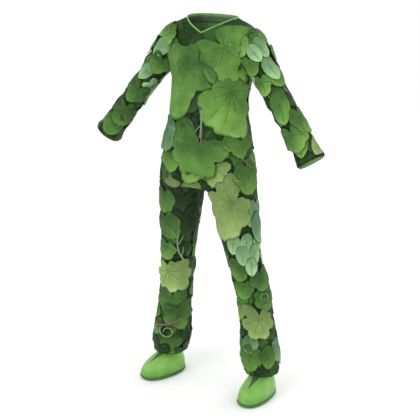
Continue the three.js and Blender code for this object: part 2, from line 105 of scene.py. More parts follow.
# Sections: place along the tube, centre across, centre in depth, half width, half depth.
TORSO = [
    (960, 0, -34, 177, 125), (1000, 0, -35, 170, 121), (1050, 0, -34, 160, 116), (1100, 0, -31, 147, 111),
    (1150, 0, -24, 141, 108), (1200, 0, -16, 143, 112), (1260, 0, -9, 153, 117), (1320, 0, -4, 163, 117),
    (1370, 0, -1, 172, 106), (1405, 0, 0, 170, 93), (1430, 0, -1, 145, 79), (1450, 0, -3, 100, 62),
    (1480, 0, -4, 80, 52),
]
SEAT = [
    (828, 0, -37, 90, 66), (860, 0, -37, 150, 96), (900, 0, -36, 179, 108), (950, 0, -35, 172, 113),
    (1000, 0, -35, 160, 111), (1050, 0, -34, 150, 106), (1090, 0, -30, 140, 101),
]
SLEEVE = [
    (-52, 0, 0, 20, 22), (-42, 0, 0, 40, 42), (-20, 0, 0, 54, 58), (20, 0, 0, 60, 66), (70, 0, 0, 56, 62),
    (130, 0, 0, 50, 54), (200, 0, 0, 47, 50), (270, 0, 0, 47, 49), (350, 0, 0, 47, 49), (430, 0, 0, 50, 51),
    (470, 0, 0, 56, 56), (510, 0, 0, 56, 56),
]
LEG = [
    (80, 208, 14, 56, 59), (92, 207, 14, 58, 61), (120, 204, 18, 69, 70), (160, 200, 18, 78, 78),
    (220, 194, 18, 73, 74), (300, 185, 17, 68, 69), (400, 172, 12, 65, 67), (480, 159, 2, 67, 69),
    (560, 145, -16, 64, 69), (660, 129, -29, 71, 79), (760, 116, -35, 79, 90), (820, 109, -36, 84, 98),
    (860, 102, -36, 87, 104), (900, 95, -35, 87, 108), (955, 87, -34, 84, 103), (1000, 75, -32, 80, 95),
    (1075, 60, -28, 82, 98),
]
SHOE = [
    (0, 0, -41, 49, 95), (14, 0, -42, 54, 100), (34, 0, -40, 55, 98), (56, 0, -33, 51, 88),
    (74, 0, -20, 46, 69), (90, 0, -5, 42, 49), (104, 0, -3, 40, 46), (130, 0, -2, 39, 45),
]


# ---- Tubes ------------------------------------------------------------------------------------------
class Tube:
    """A tube of cloth through the sections of one table. Angle 0 is +X, -90 degrees is the front."""

    def __init__(self, rows, power, side=1, place=None, down=False):
        self.rows = np.array(rows, float)
        self.power = power
        self.side = side
        self.place = place or Matrix.Translation((0, 0, -NECK_TOP))
        self.down = down

    def section(self, at):
        """Centre across, centre in depth, half width and half depth: a smooth curve through the rows."""
        rows = self.rows
        i = int(np.clip(np.searchsorted(rows[:, 0], at) - 1, 0, len(rows) - 2))
        near, far = rows[i], rows[i + 1]
        before, after = rows[max(i - 1, 0)], rows[min(i + 2, len(rows) - 1)]
        span = far[0] - near[0]
        t = min(max((at - near[0]) / span, 0.0), 1.0)
        slope_near = (far - before) / (far[0] - before[0]) * span
        slope_far = (after - near) / (after[0] - near[0]) * span
        rise = 3 * t ** 2 - 2 * t ** 3
        level = (1 - rise) * near + rise * far
        return (level + (t ** 3 - 2 * t ** 2 + t) * slope_near + (t ** 3 - t ** 2) * slope_far)[1:]

    def point(self, at, angle, out=0.0):
        across, depth, half_width, half_depth = self.section(at)
        c, s = math.cos(angle), math.sin(angle)
        x = half_width * math.copysign(abs(c) ** self.power, c)
        y = half_depth * math.copysign(abs(s) ** self.power, s)
        normal = Vector((x / half_width ** 2, y / half_depth ** 2)).normalized()
        height = -at if self.down else at
        level = Vector((self.side * across + x + out * normal.x, depth + y + out * normal.y, height))
        return (self.place @ level) * MM

    def around(self, at):
        """Length round the tube in metres."""
        steps = 48
        ring = [self.point(at, 2 * math.pi * k / steps) for k in range(steps + 1)]
        return sum((b - a).length for a, b in zip(ring, ring[1:]))

    def axes(self, at, angle):
        """Point, outward normal, direction towards the free end, and the direction round the tube."""
        step, turn = 8.0, 0.06
        here = self.point(at, angle)
        along = self.point(at + step, angle) - self.point(at - step, angle)
        if not self.down:
            along.negate()
        side = (self.point(at, angle + turn) - self.point(at, angle - turn)).normalized()
        along = (along - side * along.dot(side)).normalized()
        outward = side.cross(-along).normalized()
        return here, outward, along, side


def sleeve_place(side):
    """From the sleeve's own frame, whose -Z runs along the arm, to the garment's."""
    turn = Matrix.Rotation(-side * ARM_OUT, 4, "Y") @ Matrix.Rotation(-ARM_FORWARD, 4, "X")
    return Matrix.Translation((side * SHOULDER[0], SHOULDER[1], SHOULDER[2] - NECK_TOP)) @ turn


def shoe_place(side):
    foot = Matrix.Translation((side * FOOT[0], FOOT[1], -NECK_TOP))
    return foot @ Matrix.Rotation(side * TOE_OUT[side], 4, "Z")


TUBES = {"torso": Tube(TORSO, 0.86), "seat": Tube(SEAT, 0.86)}
for hand, side in SIDES.items():
    TUBES[f"{hand}_sleeve"] = Tube(SLEEVE, 1.0, side, sleeve_place(side), down=True)
    TUBES[f"{hand}_leg"] = Tube(LEG, 0.95, side)
    TUBES[f"{hand}_shoe"] = Tube(SHOE, 0.86, side, shoe_place(side))


# ---- Meshes -----------------------------------------------------------------------------------------
def add_object(name, points, faces, smooth=True):
    mesh = bpy.data.meshes.new(name)
    mesh.from_pydata([tuple(p) for p in points], [], faces)
    mesh.validate()
    mesh.update()
    return link(name, mesh, smooth)


def link(name, mesh, smooth=True):
    mesh.name = name
    mesh.shade_smooth() if smooth else mesh.shade_flat()
    obj = bpy.data.objects.new(name, mesh)
    scene.collection.objects.link(obj)
    return obj


def rings_to_faces(rings, around, first=0, closed_path=False):
    faces = []
    for i in range(rings if closed_path else rings - 1):
        j = (i + 1) % rings
        for k in range(around):
            n = (k + 1) % around
            faces.append([first + i * around + k, first + i * around + n, first + j * around + n,
                          first + j * around + k])
    return faces


def end_faces(rings, around):
    """Flat faces over the first and the last ring."""
    last = (rings - 1) * around
    return [list(range(around))[::-1], [last + k for k in range(around)]]


def loft(tube, places, around):
    """Points and faces of a tube between its first and last place, with flat ends."""
    angles = [2 * math.pi * k / around for k in range(around)]
    points = [tube.point(at, angle) for at in places for angle in angles]
    faces = rings_to_faces(len(places), around) + end_faces(len(places), around)
    if tube.down:
        faces = [face[::-1] for face in faces]
    return points, faces


def spread(low, high, step):
    return list(np.linspace(low, high, max(2, int(round((high - low) / step)) + 1)))


def evaluated(obj):
    bpy.context.view_layer.update()
    seen = obj.evaluated_get(bpy.context.evaluated_depsgraph_get())
    return bpy.data.meshes.new_from_object(seen)


def mesh_points(mesh, field="co"):
    """Every point of a mesh, or with the field "normal" every point's normal."""
    flat = np.zeros(len(mesh.vertices) * 3, np.float32)
    mesh.vertices.foreach_get(field, flat)
    return flat.reshape(-1, 3).astype(float)


def set_points(mesh, points):
    mesh.vertices.foreach_set("co", points.astype(np.float32).ravel())
    mesh.update()


def relax(mesh, rounds, share=0.5):
    """Moves every point towards the middle of its neighbours."""
    edges = np.zeros(len(mesh.edges) * 2, np.int32)
    mesh.edges.foreach_get("vertices", edges)
    a, b = edges.reshape(-1, 2).T
    points = mesh_points(mesh)
    count = np.bincount(np.concatenate([a, b]), minlength=len(points))[:, None]
    for _ in range(rounds):
        total = np.zeros_like(points)
        np.add.at(total, a, points[b])
        np.add.at(total, b, points[a])
        points += share * (total / np.maximum(count, 1) - points)
    set_points(mesh, points)


def store(mesh, name, values):
    """Keeps one number or one vector per point for the materials."""
    values = np.asarray(values, np.float32)
    kind, field = ("FLOAT", "value") if values.ndim == 1 else ("FLOAT_VECTOR", "vector")
    attribute = mesh.attributes.get(name) or mesh.attributes.new(name, kind, "POINT")
    attribute.data.foreach_set(field, values.ravel())


def thicken(obj, depth, inner_material=0):
    """Gives a surface thickness inwards. inner_material is the inner side's place in the materials."""
    solid = obj.modifiers.new("thickness", "SOLIDIFY")
    solid.thickness = depth * MM
    solid.offset = -1.0
    solid.material_offset = inner_material


# ---- Skins: the base cloth --------------------------------------------------------------------------
VOXEL = 5.5 * MM
LOFT_STEP = 9
LOFT_SIDES = 72
INSET = {"sleeve": 5.0, "leg": 3.5, "body": 2.5}   # how far inside the whole suit's outline the cloth lies
# First and last place of each tube in the skins.
TORSO_SPAN = (900, 1478)
SLEEVE_SPAN = (-50, 508)
SEAT_SPAN = (830, 1088)
LEG_SPAN = (72, 985)
# Where a limb's own folds begin, and where they are full.
SLEEVE_FOLDS = (5, 60)
LEG_FOLDS = (840, 800)


def ease(low, high, value):
    t = min(max((value - low) / (high - low), 0.0), 1.0)
    return t * t * (3 - 2 * t)


def stacked(phase):
    """Puffed rings with a crease between each pair, as in a sleeve that is pushed up a little."""
    part = phase - math.floor(phase)
    return abs(math.sin(math.pi * part)) ** 0.7 * (0.75 + 0.5 * part) - 0.62


def fold_height(tube, at, angle, seed, kind):
    """How far the cloth stands out of its tube, in millimetres."""
    wander = noise.noise(Vector((math.cos(angle) * 1.3, math.sin(angle) * 1.3, at / 95 + seed)))
    fine = noise.noise(Vector((math.cos(angle) * 3, math.sin(angle) * 3, at / 30 + seed * 2)))
    if kind == "sleeve":
        tilt = 15 * math.cos(angle - seed)
        strength = 5.2 * ease(-10, 70, at) * (1 - 0.55 * ease(430, 470, at)) * (0.8 + 0.7 * wander)
        return strength * stacked((at + tilt + 22 * wander) / 86) + 1.6 * fine - INSET[kind]
    if kind == "leg":
        tilt = 16 * math.cos(angle + seed)
        knee = math.exp(-((at - 470) / 75) ** 2)
        ankle = 1 - ease(215, 300, at)
        strength = (2.6 + 3.0 * knee + 2.2 * ankle) * (1 - ease(730, 830, at)) * (0.8 + 0.8 * wander)
        pitch = 105 - 38 * ankle
        ripples = 1.5 * math.sin(angle * 13 + 3 * wander) * (1 - ease(92, 150, at))
        gather = ripples + 2.5 * (1 - ease(92, 125, at))
        return strength * stacked((at + tilt + 26 * wander) / pitch) + 1.8 * fine + gather - INSET[kind]
    drape = 2.8 * noise.noise(Vector((math.cos(angle) * 2.2, math.sin(angle) * 2.2, at / 230 + seed)))
    pull = 2.2 * stacked((at * 0.55 + 130 * math.cos(angle) + 40 * wander) / 95) * (1 - ease(1300, 1380, at))
    flare = 3.0 * math.sin(angle * 9 + 4 * wander) * (1 - ease(978, 1075, at))
    return (drape + pull + flare - INSET[kind]) * (1 - ease(1390, 1430, at)) + 0.8 * fine


def place_on(tube, point):
    """Place and angle on a tube of a point near it, and its distance from the axis in radii."""
    local = tube.place.inverted() @ (Vector(point) / MM)
    at = -local.z if tube.down else local.z
    across, depth, half_width, half_depth = tube.section(at)
    x, y = (local.x - tube.side * across) / half_width, (local.y - depth) / half_depth
    return at, math.atan2(y, x), math.hypot(x, y)


def make_skin(name, lofts, limbs, body):
    """Joins the tubes into one surface, softens where they meet, and folds it."""
    points, faces = [], []
    for tube, low, high in lofts:
        new_points, new_faces = loft(tube, spread(low, high, LOFT_STEP), LOFT_SIDES)
        faces += [[i + len(points) for i in face] for face in new_faces]
        points += new_points
    rough = add_object(name, points, faces)
    remesh = rough.modifiers.new("join", "REMESH")
    remesh.mode = "VOXEL"
    remesh.voxel_size = VOXEL
    mesh = evaluated(rough)
    bpy.data.objects.remove(rough)
    relax(mesh, 9)
    points, normals = mesh_points(mesh), mesh_points(mesh, "normal")
    for i, (point, normal) in enumerate(zip(points, normals)):
        on_limb, lift = 0.0, 0.0
        for limb, kind, begin, full in limbs:
            if point[0] * limb.side < 0:
                continue
            at, angle, radii = place_on(limb, point)
            inside = ease(begin, full, at) if full > begin else 1 - ease(full, begin, at)
            on_limb = inside * (1 - ease(1.25, 1.7, radii))
            if on_limb > 0:
                lift = on_limb * fold_height(limb, at, angle, 2.0 + limb.side, kind)
        if on_limb < 1:
            at, angle, _ = place_on(body, point)
            lift += (1 - on_limb) * fold_height(body, at, angle, 0.7, "body")
        points[i] += normal * lift * MM
    set_points(mesh, points)
    relax(mesh, 2, 0.4)
    return mesh


def opened(mesh):
    """A copy of a mesh that can be edited."""
    work = bmesh.new()
    work.from_mesh(mesh)
    return work


def finished(work, name):
    """The edited copy as a mesh again."""
    result = bpy.data.meshes.new(name)
    work.to_mesh(result)
    work.free()
    return result


def slice_at(work, place, normal, keep_all=False, parts=None):
    """Splits faces along a plane and removes what lies behind it, unless all is kept."""
    geometry = parts if parts is not None else work.verts[:] + work.edges[:] + work.faces[:]
    bmesh.ops.bisect_plane(work, geom=geometry, dist=1e-6, plane_co=place, plane_no=normal,
                           clear_inner=not keep_all)


def cut(mesh, *planes):
    """A copy that keeps what lies on the front of every plane, each a point and a normal."""
    work = opened(mesh)
    for place, normal in planes:
        slice_at(work, place, normal)
    return finished(work, "cut")


def joined(*meshes):
    """One mesh from several that meet along a cut."""
    work = bmesh.new()
    for mesh in meshes:
        work.from_mesh(mesh)
    bmesh.ops.remove_doubles(work, verts=work.verts[:], dist=1e-5)
    return finished(work, "joined")


def height(value):
    return (value - NECK_TOP) * MM


def above(value):
    return (0, 0, height(value)), (0, 0, 1)


def below(value):
    return (0, 0, height(value)), (0, 0, -1)


def across(value, side):
    return (value * MM, 0, 0), (side, 0, 0)


def along_sleeve(side, at, towards_hand):
    """A plane across the sleeve. It keeps the hand's side, or the shoulder's."""
    place = sleeve_place(side)
    direction = (place.to_3x3() @ Vector((0, 0, -1))).normalized()
    point = (place @ Vector((0, 0, -at))) * MM
    return point, direction if towards_hand else -direction


def neck_height(x):
    """Height of the V's edge at a distance from the centre, in the garment's own frame."""
    return height(V_POINT + abs(x) / MM / NECK_HALF * (NECK_TOP - V_POINT))


def cut_neck(mesh, drop=0.0):
    """Cuts the neck opening: a V in front, and level behind. drop moves the edge down, in millimetres."""
    work = opened(mesh)
    rise = (NECK_TOP - V_POINT) / NECK_HALF
    level = height(NECK_TOP - drop)
    for plane in ((1, 0, 0), (0, 1, 0)):
        slice_at(work, (0, 0, 0), plane, keep_all=True)
    for sign in (1, -1):
        quarter = [f for f in work.faces if f.calc_center_median().x * sign > 0
                   and f.calc_center_median().y < 0]
        parts = {e for f in quarter for e in f.edges} | {v for f in quarter for v in f.verts} | set(quarter)
        slice_at(work, (0, 0, height(V_POINT - drop)), (-sign * rise, 0, 1), True, list(parts))
    slice_at(work, (0, 0, level), (0, 0, 1), keep_all=True)
    extra = []
    for face in work.faces:
        middle = face.calc_center_median()
        edge = neck_height(middle.x) - drop * MM if middle.y < 0 else level
        if middle.z > min(edge, level):
            extra.append(face)
    bmesh.ops.delete(work, geom=extra, context="FACES")
    loose = [v for v in work.verts if not v.link_faces]
    bmesh.ops.delete(work, geom=loose, context="VERTS")
    return finished(work, "cut_neck")


def boundary_loop(mesh, keep):
    """The open edge of a mesh whose points pass a test, as points in order."""
    work = opened(mesh)
    edges = [e for e in work.edges if e.is_boundary and all(keep(v.co) for v in e.verts)]
    neighbours = {}
    for edge in edges:
        a, b = edge.verts
        neighbours.setdefault(a.index, []).append(b.index)
        neighbours.setdefault(b.index, []).append(a.index)
    ends = [i for i, near in neighbours.items() if len(near) == 1]
    start = ends[0] if ends else next(iter(neighbours))
    order, last = [start], None
    while True:
        onward = [i for i in neighbours[order[-1]] if i != last and i not in order[1:]]
        if not onward or onward[0] == start:
            break
        last = order[-1]
        order.append(onward[0])
    work.verts.ensure_lookup_table()
    points = [work.verts[i].co.copy() for i in order]
    work.free()
    return points, not ends


def tree_of(mesh):
    corners = [v.co.copy() for v in mesh.vertices]
    return BVHTree.FromPolygons(corners, [tuple(p.vertices) for p in mesh.polygons])


smock_tubes = [(TUBES["torso"], *TORSO_SPAN)]
smock_tubes += [(TUBES[f"{hand}_sleeve"], *SLEEVE_SPAN) for hand in SIDES]
smock_limbs = [(TUBES[f"{hand}_sleeve"], "sleeve", *SLEEVE_FOLDS) for hand in SIDES]
smock_skin = make_skin("smock_skin", smock_tubes, smock_limbs, TUBES["torso"])
trouser_tubes = [(TUBES["seat"], *SEAT_SPAN)] + [(TUBES[f"{hand}_leg"], *LEG_SPAN) for hand in SIDES]
trouser_limbs = [(TUBES[f"{hand}_leg"], "leg", *LEG_FOLDS) for hand in SIDES]
trouser_skin = make_skin("trouser_skin", trouser_tubes, trouser_limbs, TUBES["seat"])

SMOCK_TREE, TROUSER_TREE = tree_of(smock_skin), tree_of(trouser_skin)


# ---- How each stretch of cloth moves ----------------------------------------------------------------
# Where each bend starts and ends: a direction with two distances along it, heights, and places on the sleeve.
SHOULDER_BEND = ((0.862, 0, -0.507), 0.252, 0.350)
HIP_BEND = (835, 640)
KNEE_BEND = (585, 405)
ELBOW_BEND = (208, 340)


def sleeve_axis(side, at):
    return tuple((sleeve_place(side) @ Vector((0, 0, -at))) * MM)


def moves(zone):
    """The two bodies, start and end of a zone's bend, or the one body that it rides on."""
    hand, _, part = zone.partition("_")
    side = SIDES.get(hand)
    if side is None:
        return ("torso",)
    if part == "upper_sleeve":
        direction, start, end = SHOULDER_BEND
        at = [tuple(side * c * way if i == 0 else c * way for i, c in enumerate(direction))
              for way in (start, end)]
        return "torso", f"{hand}_upper_arm", at[0], at[1]
    if part == "lower_sleeve":
        start, end = (sleeve_axis(side, at) for at in ELBOW_BEND)
        return f"{hand}_upper_arm", f"{hand}_forearm", start, end
    if part == "upper_leg":
        start, end = ((0, 0, height(at)) for at in HIP_BEND)
        return "torso", f"{hand}_thigh", start, end
    if part == "lower_leg":
        start, end = ((0, 0, height(at)) for at in KNEE_BEND)
        return f"{hand}_thigh", f"{hand}_shin", start, end
    return (f"{hand}_{part}",)


def fasten(obj, zone, slot, *stands_for):
    """Parents a piece to its zone's body, or bakes it in place where the zone bends; hides the solids it
    stands for.
    """
    how = moves(zone)
    if len(how) == 1:
        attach(obj, how[0])
    else:
        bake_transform(obj)
    if stands_for:
        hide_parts(*stands_for)


def finish_piece(obj, zone, slot, material, *stands_for):
    """Keeps a piece's points for its material, gives it that material, and parents it to its zone's body or
    bakes it in place.
    """
    store(obj.data, "rest_place", mesh_points(obj.data))
    obj.data.materials.append(MATERIALS[material])
    fasten(obj, zone, slot, *stands_for)


# ---- Base cloth pieces ------------------------------------------------------------------------------
skins = []                       # the base pieces, each with its zone and kind of cloth as properties


def base_piece(name, mesh, zone, cloth, tube, free_edge=None):
    obj = link(name, mesh)
    points = mesh_points(mesh)
    store(mesh, "rest_place", points)
    run = np.zeros((len(points), 3))
    for i, point in enumerate(points):
        at, angle, _ = place_on(tube, point)
        run[i] = (abs(at - free_edge) * MM if free_edge is not None else 1.0, angle * 0.12, at * MM)
    store(mesh, "edge_run", run)
    skins.append(obj)
    obj["zone"] = zone
    obj["cloth"] = cloth
    return obj


def make_base():
    torso = TUBES["torso"]
    chest = cut(smock_skin, above(UNDERARM), across(ARMHOLE, -1), across(-ARMHOLE, 1))
    whole = [across(BODY_HALF, -1), across(-BODY_HALF, 1)]
    waist = cut(smock_skin, above(SMOCK_HEM + HEM_BAND), below(UNDERARM), *whole)
    base_piece("smock_body", cut_neck(joined(chest, waist)), "torso", "smock", torso)
    band = cut(smock_skin, above(SMOCK_HEM), below(SMOCK_HEM + HEM_BAND), *whole)
    base_piece("hem_band", band, "torso", "band", torso, SMOCK_HEM)
    for hand, side in SIDES.items():
        sleeve = TUBES[f"{hand}_sleeve"]
        start = across(side * ARMHOLE, side)
        split = [along_sleeve(side, SLEEVE_SPLIT, hands) for hands in (False, True)]
        wrist = [along_sleeve(side, CUFF, hands) for hands in (False, True)]
        end = along_sleeve(side, SLEEVE_END, False)
        clear = across(side * BODY_HALF, side)
        base_piece(f"{hand}_sleeve_top", cut(smock_skin, start, split[0], above(UNDERARM)),
                   f"{hand}_upper_sleeve", "smock", sleeve)
        base_piece(f"{hand}_sleeve_lower", cut(smock_skin, clear, split[1], wrist[0]),
                   f"{hand}_lower_sleeve", "smock", sleeve)
        base_piece(f"{hand}_sleeve_cuff", cut(smock_skin, clear, wrist[1], end), f"{hand}_forearm", "band",
                   sleeve, SLEEVE_END)
        leg = TUBES[f"{hand}_leg"]
        own = across(0, side)
        base_piece(f"{hand}_trouser_thigh", cut(trouser_skin, own, below(SEAT_SPLIT), above(LEG_SPLIT)),
                   f"{hand}_upper_leg", "trousers", leg)
        base_piece(f"{hand}_trouser_shin", cut(trouser_skin, own, below(LEG_SPLIT), above(ANKLE_SPLIT)),
                   f"{hand}_lower_leg", "trousers", leg)
        base_piece(f"{hand}_trouser_ankle", cut(trouser_skin, own, below(ANKLE_SPLIT), above(LEG_HEM)),
                   f"{hand}_shin", "band", leg, LEG_HEM)
    base_piece("trouser_seat", cut(trouser_skin, above(SEAT_SPLIT), below(WAIST_TOP)), "torso", "trousers",
               TUBES["seat"], WAIST_TOP)


# ---- Leaves -----------------------------------------------------------------------------------------
# A leaf's shape: lobes as (direction from the tip in degrees, reach, half width in radians), how blunt the
# lobes are, the notch at its stem as (direction, depth), and its teeth as (number, depth).
SHAPES = {
    "grape": ([(0, 1, .72), (60, .9, .7), (-60, .9, .7), (122, .8, .72), (-122, .8, .72)], .42,
              (180, .55), (22, .045)),
    "maple": ([(0, 1, .6), (54, .88, .52), (-54, .88, .52), (110, .72, .6), (-110, .72, .6)], .62,
              (180, .5), (26, .06)),
    "heart": ([(0, 1, .95), (80, .72, 1.1), (-80, .72, 1.1), (140, .66, .8), (-140, .66, .8)], .4,
              (180, .4), (0, 0)),
    "breast": ([(-10, 1, .5), (14, .64, .42), (58, .64, .62), (142, .38, .7), (-66, .42, .85),
                (-130, .4, .7)], .55, (180, .1), (0, 0)),
    "belly": ([(8, 1, .4), (-14, .9, .4), (-38, .84, .42), (-68, .74, .5), (34, .68, .5), (-112, .42, .6),
               (84, .5, .6)], .5, (170, .3), (30, .04)),
    "hip": ([(-17, 1, .52), (22, .86, .5), (84, .78, .58), (-60, .8, .5), (-100, .84, .42),
             (-140, .9, .42)], .45, (162, .7), (24, .05)),
    "thigh": ([(-16, 1, .42), (4, .86, .32), (32, .66, .42), (72, .48, .45), (-48, .64, .5), (-92, .54, .5),
               (180, .6, .42), (156, .52, .3), (-146, .46, .45)], .55, (122, .5), (34, .05)),
    "knee": ([(40, 1, .46), (8, .88, .38), (76, .87, .46), (114, .84, .42), (-22, .76, .42), (-68, .5, .5),
              (-146, .45, .6), (152, .5, .4)], .5, (175, .35), (32, .05)),
    "shin": ([(-18, 1, .48), (14, .96, .4), (58, .8, .46), (-62, .9, .5), (-128, .92, .5), (98, .6, .5),
              (152, .78, .4)], .5, (178, .5), (30, .05)),
}
# Leaves with one midrib: half width as a share of the half length, and how pointed the tip is.
ONE_RIB = {"ovate": (.62, .16), "round": (.86, .05)}

# The main leaves hang where the frame's own leaf nodes are: node, zone, tube, shape, turn of the tip in
# degrees, tone from dark 0 to light 1, look, layer, length as a share of the node's, and how far further
# down (millimetres) and round (degrees) the leaf's middle hangs.
MAIN_LEAVES = [
    ("chest_leaf_left", "torso", "torso", "grape", 50, .66, "green", 1, 2.15, -5, 5),
    ("chest_leaf_right", "torso", "torso", "round", 0, .64, "green", 0, 1.05, 0, -10),
    ("breast_leaf", "torso", "torso", "breast", 0, .55, "green", 1, 2.2, 0, 0),
    ("belly_leaf", "torso", "torso", "belly", 0, .68, "green", 2, 2.1, 0, 8),
    ("hip_leaf", "torso", "torso", "hip", 0, .56, "green", 1, 1.7, 15, 5),
    ("side_leaf", "torso", "torso", "grape", 0, .44, "green", 1, 1.9, 0, 0),
    ("thigh_leaf", "left_upper_leg", "left_leg", "thigh", 0, .56, "pale", 2, 2.4, -20, 10),
    ("knee_leaf", "right_lower_leg", "right_leg", "knee", 0, .68, "pale", 2, 1.9, 0, 0),
    ("shin_leaf", "left_lower_leg", "left_leg", "shin", 0, .58, "pale", 2, 1.5, 0, 5),
    ("ankle_leaf", "left_lower_leg", "left_leg", "ovate", 0, .56, "green", 2, 1.75, 30, 0),
    ("shoulder_leaf", "left_upper_sleeve", "left_sleeve", "ovate", 10, .78, "sage", 3, 1.25, 10, 0),
    ("left_forearm_leaf", "left_lower_sleeve", "left_sleeve", "grape", 0, .6, "green", 2, 1.5, 0, 0),
    ("right_forearm_leaf", "right_lower_sleeve", "right_sleeve", "round", 0, .46, "green", 2, 1.15, 30, 20),
]
NODE_DIAGONAL = 2.6             # a leaf node's box from corner to corner, as a multiple of the leaf's size
LAYER_OUT = 2.3                 # space between layers of leaves
MAIN_OUT = 4.3                  # the lowest layer of the leaves that are placed one by one
MAIN_GRID = (13, 84)            # rings and spokes
FILL_GRID = (6, 40)
PALM_RELIEF = 1.1               # depth of the crease along a main vein
# Lowest and highest place that a leaf's edge may reach on each tube: sewn all over, and placed one by one.
SEWN_LIMITS = {"torso": (984, 1450), "seat": (840, 1060), "sleeve": (-60, 464), "leg": (106, 880)}
PLACED_LIMITS = {"torso": (872, 1450), "seat": (800, 1060), "sleeve": (-60, 466), "leg": (98, 965)}
NECK_CLEAR = 0.006              # leaves stop this far below the neck's edge, in metres
RAY_BACK = 0.03                 # a ray to the cloth starts this far outside it, in metres
leaves = {}                     # (zone, look, piece's name, node it stands for) -> list of leaves
placed = []                     # tube, middle and size of each leaf that is placed one by one


def wrapped(angle):
    return math.atan2(math.sin(angle), math.cos(angle))


def reach(shape, turn):
    """Distance of the outline from the vein centre, as a share of the tip's."""
    if shape in ONE_RIB:
        width, tip = ONE_RIB[shape]
        oval = width / math.hypot(width * math.cos(turn), math.sin(turn))
        point = tip * math.exp(-abs(wrapped(turn)) / 0.3)
        return oval * (1 - tip + point) + 0.012 * math.sin(turn * 11) * width
    lobes, blunt, (notch_at, notch_deep), (teeth, teeth_deep) = SHAPES[shape]
    best = 0.3
    for direction, length, half in lobes:
        off = abs(wrapped(turn - math.radians(direction))) / (half * 1.35)
        if off < 1:
            best = max(best, length * math.cos(off * math.pi / 2) ** blunt)
            if direction == lobes[0][0]:
                best = max(best, length * (1.07 - 0.5 * off ** 0.5) if off < 0.2 else 0)
    notch = notch_deep * math.exp(-(wrapped(turn - math.radians(notch_at)) / 0.24) ** 2)
    tooth = teeth_deep * (1 - (turn * teeth / 2 / math.pi % 1) ** 1.6 - 0.5) if teeth else 0.0
    return best * (1 - notch) + tooth


def veins(shape, turn, r, share):
    """Distance along and aside from the nearest main vein."""
    if shape in ONE_RIB:
        return r * math.cos(turn), abs(r * math.sin(turn))
    arch = 0.16 * (1.1 - share)
    lobes = SHAPES[shape][0]
    off = min(abs(wrapped(turn - math.radians(lobe[0]) * (1 + arch) - 0.5 * arch)) for lobe in lobes)
    if off > math.pi / 2:
        return 0.0, r
    return r * math.cos(off), r * math.sin(off)


def find_skin(tube_name, start, outward):
    """Where a ray from outside meets the outer face of a tube's cloth, or nothing."""
    tree = TROUSER_TREE if tube_name.endswith("leg") or tube_name == "seat" else SMOCK_TREE
    origin = start + outward * RAY_BACK
    for _ in range(3):
        hit, normal, _, _ = tree.ray_cast(origin, -outward, RAY_BACK * 2.4)
        if hit is None:
            return None
        if normal.dot(outward) > 0.15:
            return hit
        origin = hit - outward * 0.0005
    return None


def bend_radius(tube_name, at, angle):
    """Radius of the surface across the tube, in millimetres. The body is flattest in front."""
    if tube_name in ("torso", "seat"):
        return 150 - 45 * abs(math.cos(math.radians(angle)))
    section = TUBES[tube_name].section(at)
    return 0.5 * (section[2] + section[3])


def vein_centre(tube_name, at, angle, size, shape, turn):
    """Where a leaf's veins meet, so that the middle of its outline lies at the given place."""
    turns = [2 * math.pi * k / 72 for k in range(72)]
    spin = math.radians(turn)
    across_it = [size * reach(shape, t) * math.sin(t + spin) for t in turns]
    down_it = [size * reach(shape, t) * math.cos(t + spin) for t in turns]
    aside, down = (max(across_it) + min(across_it)) / 2, (max(down_it) + min(down_it)) / 2
    angle -= math.degrees(aside / bend_radius(tube_name, at, angle))
    return at - down if TUBES[tube_name].down else at + down, angle


def leaf_outline(tube_name, at, angle, size, shape, spin, spokes, limits):
    """Each spoke's reach in metres, less where the leaf would pass the neck's edge or its tube's end."""
    tube = TUBES[tube_name]
    centre, _, along, side = tube.axes(at, math.radians(angle))
    low, high = limits[tube_name.split("_")[-1]]
    near_neck = tube_name == "torso" and at > 1300 and -165 < angle < -15
    outline = []
    for k in range(spokes):
        r = size * reach(shape, 2 * math.pi * k / spokes)
        heading = 2 * math.pi * k / spokes + spin
        for _ in range(24 if near_neck else 0):
            spot = centre + side * r * math.sin(heading) + along * r * math.cos(heading)
            if spot.z < neck_height(spot.x) - NECK_CLEAR or r < 0.01:
                break
            r *= 0.9
        step = math.cos(heading) / MM * (1 if tube.down else -1)
        for _ in range(30):
            if low < at + r * step < high:
                break
            r *= 0.93
        outline.append(r)
    return outline


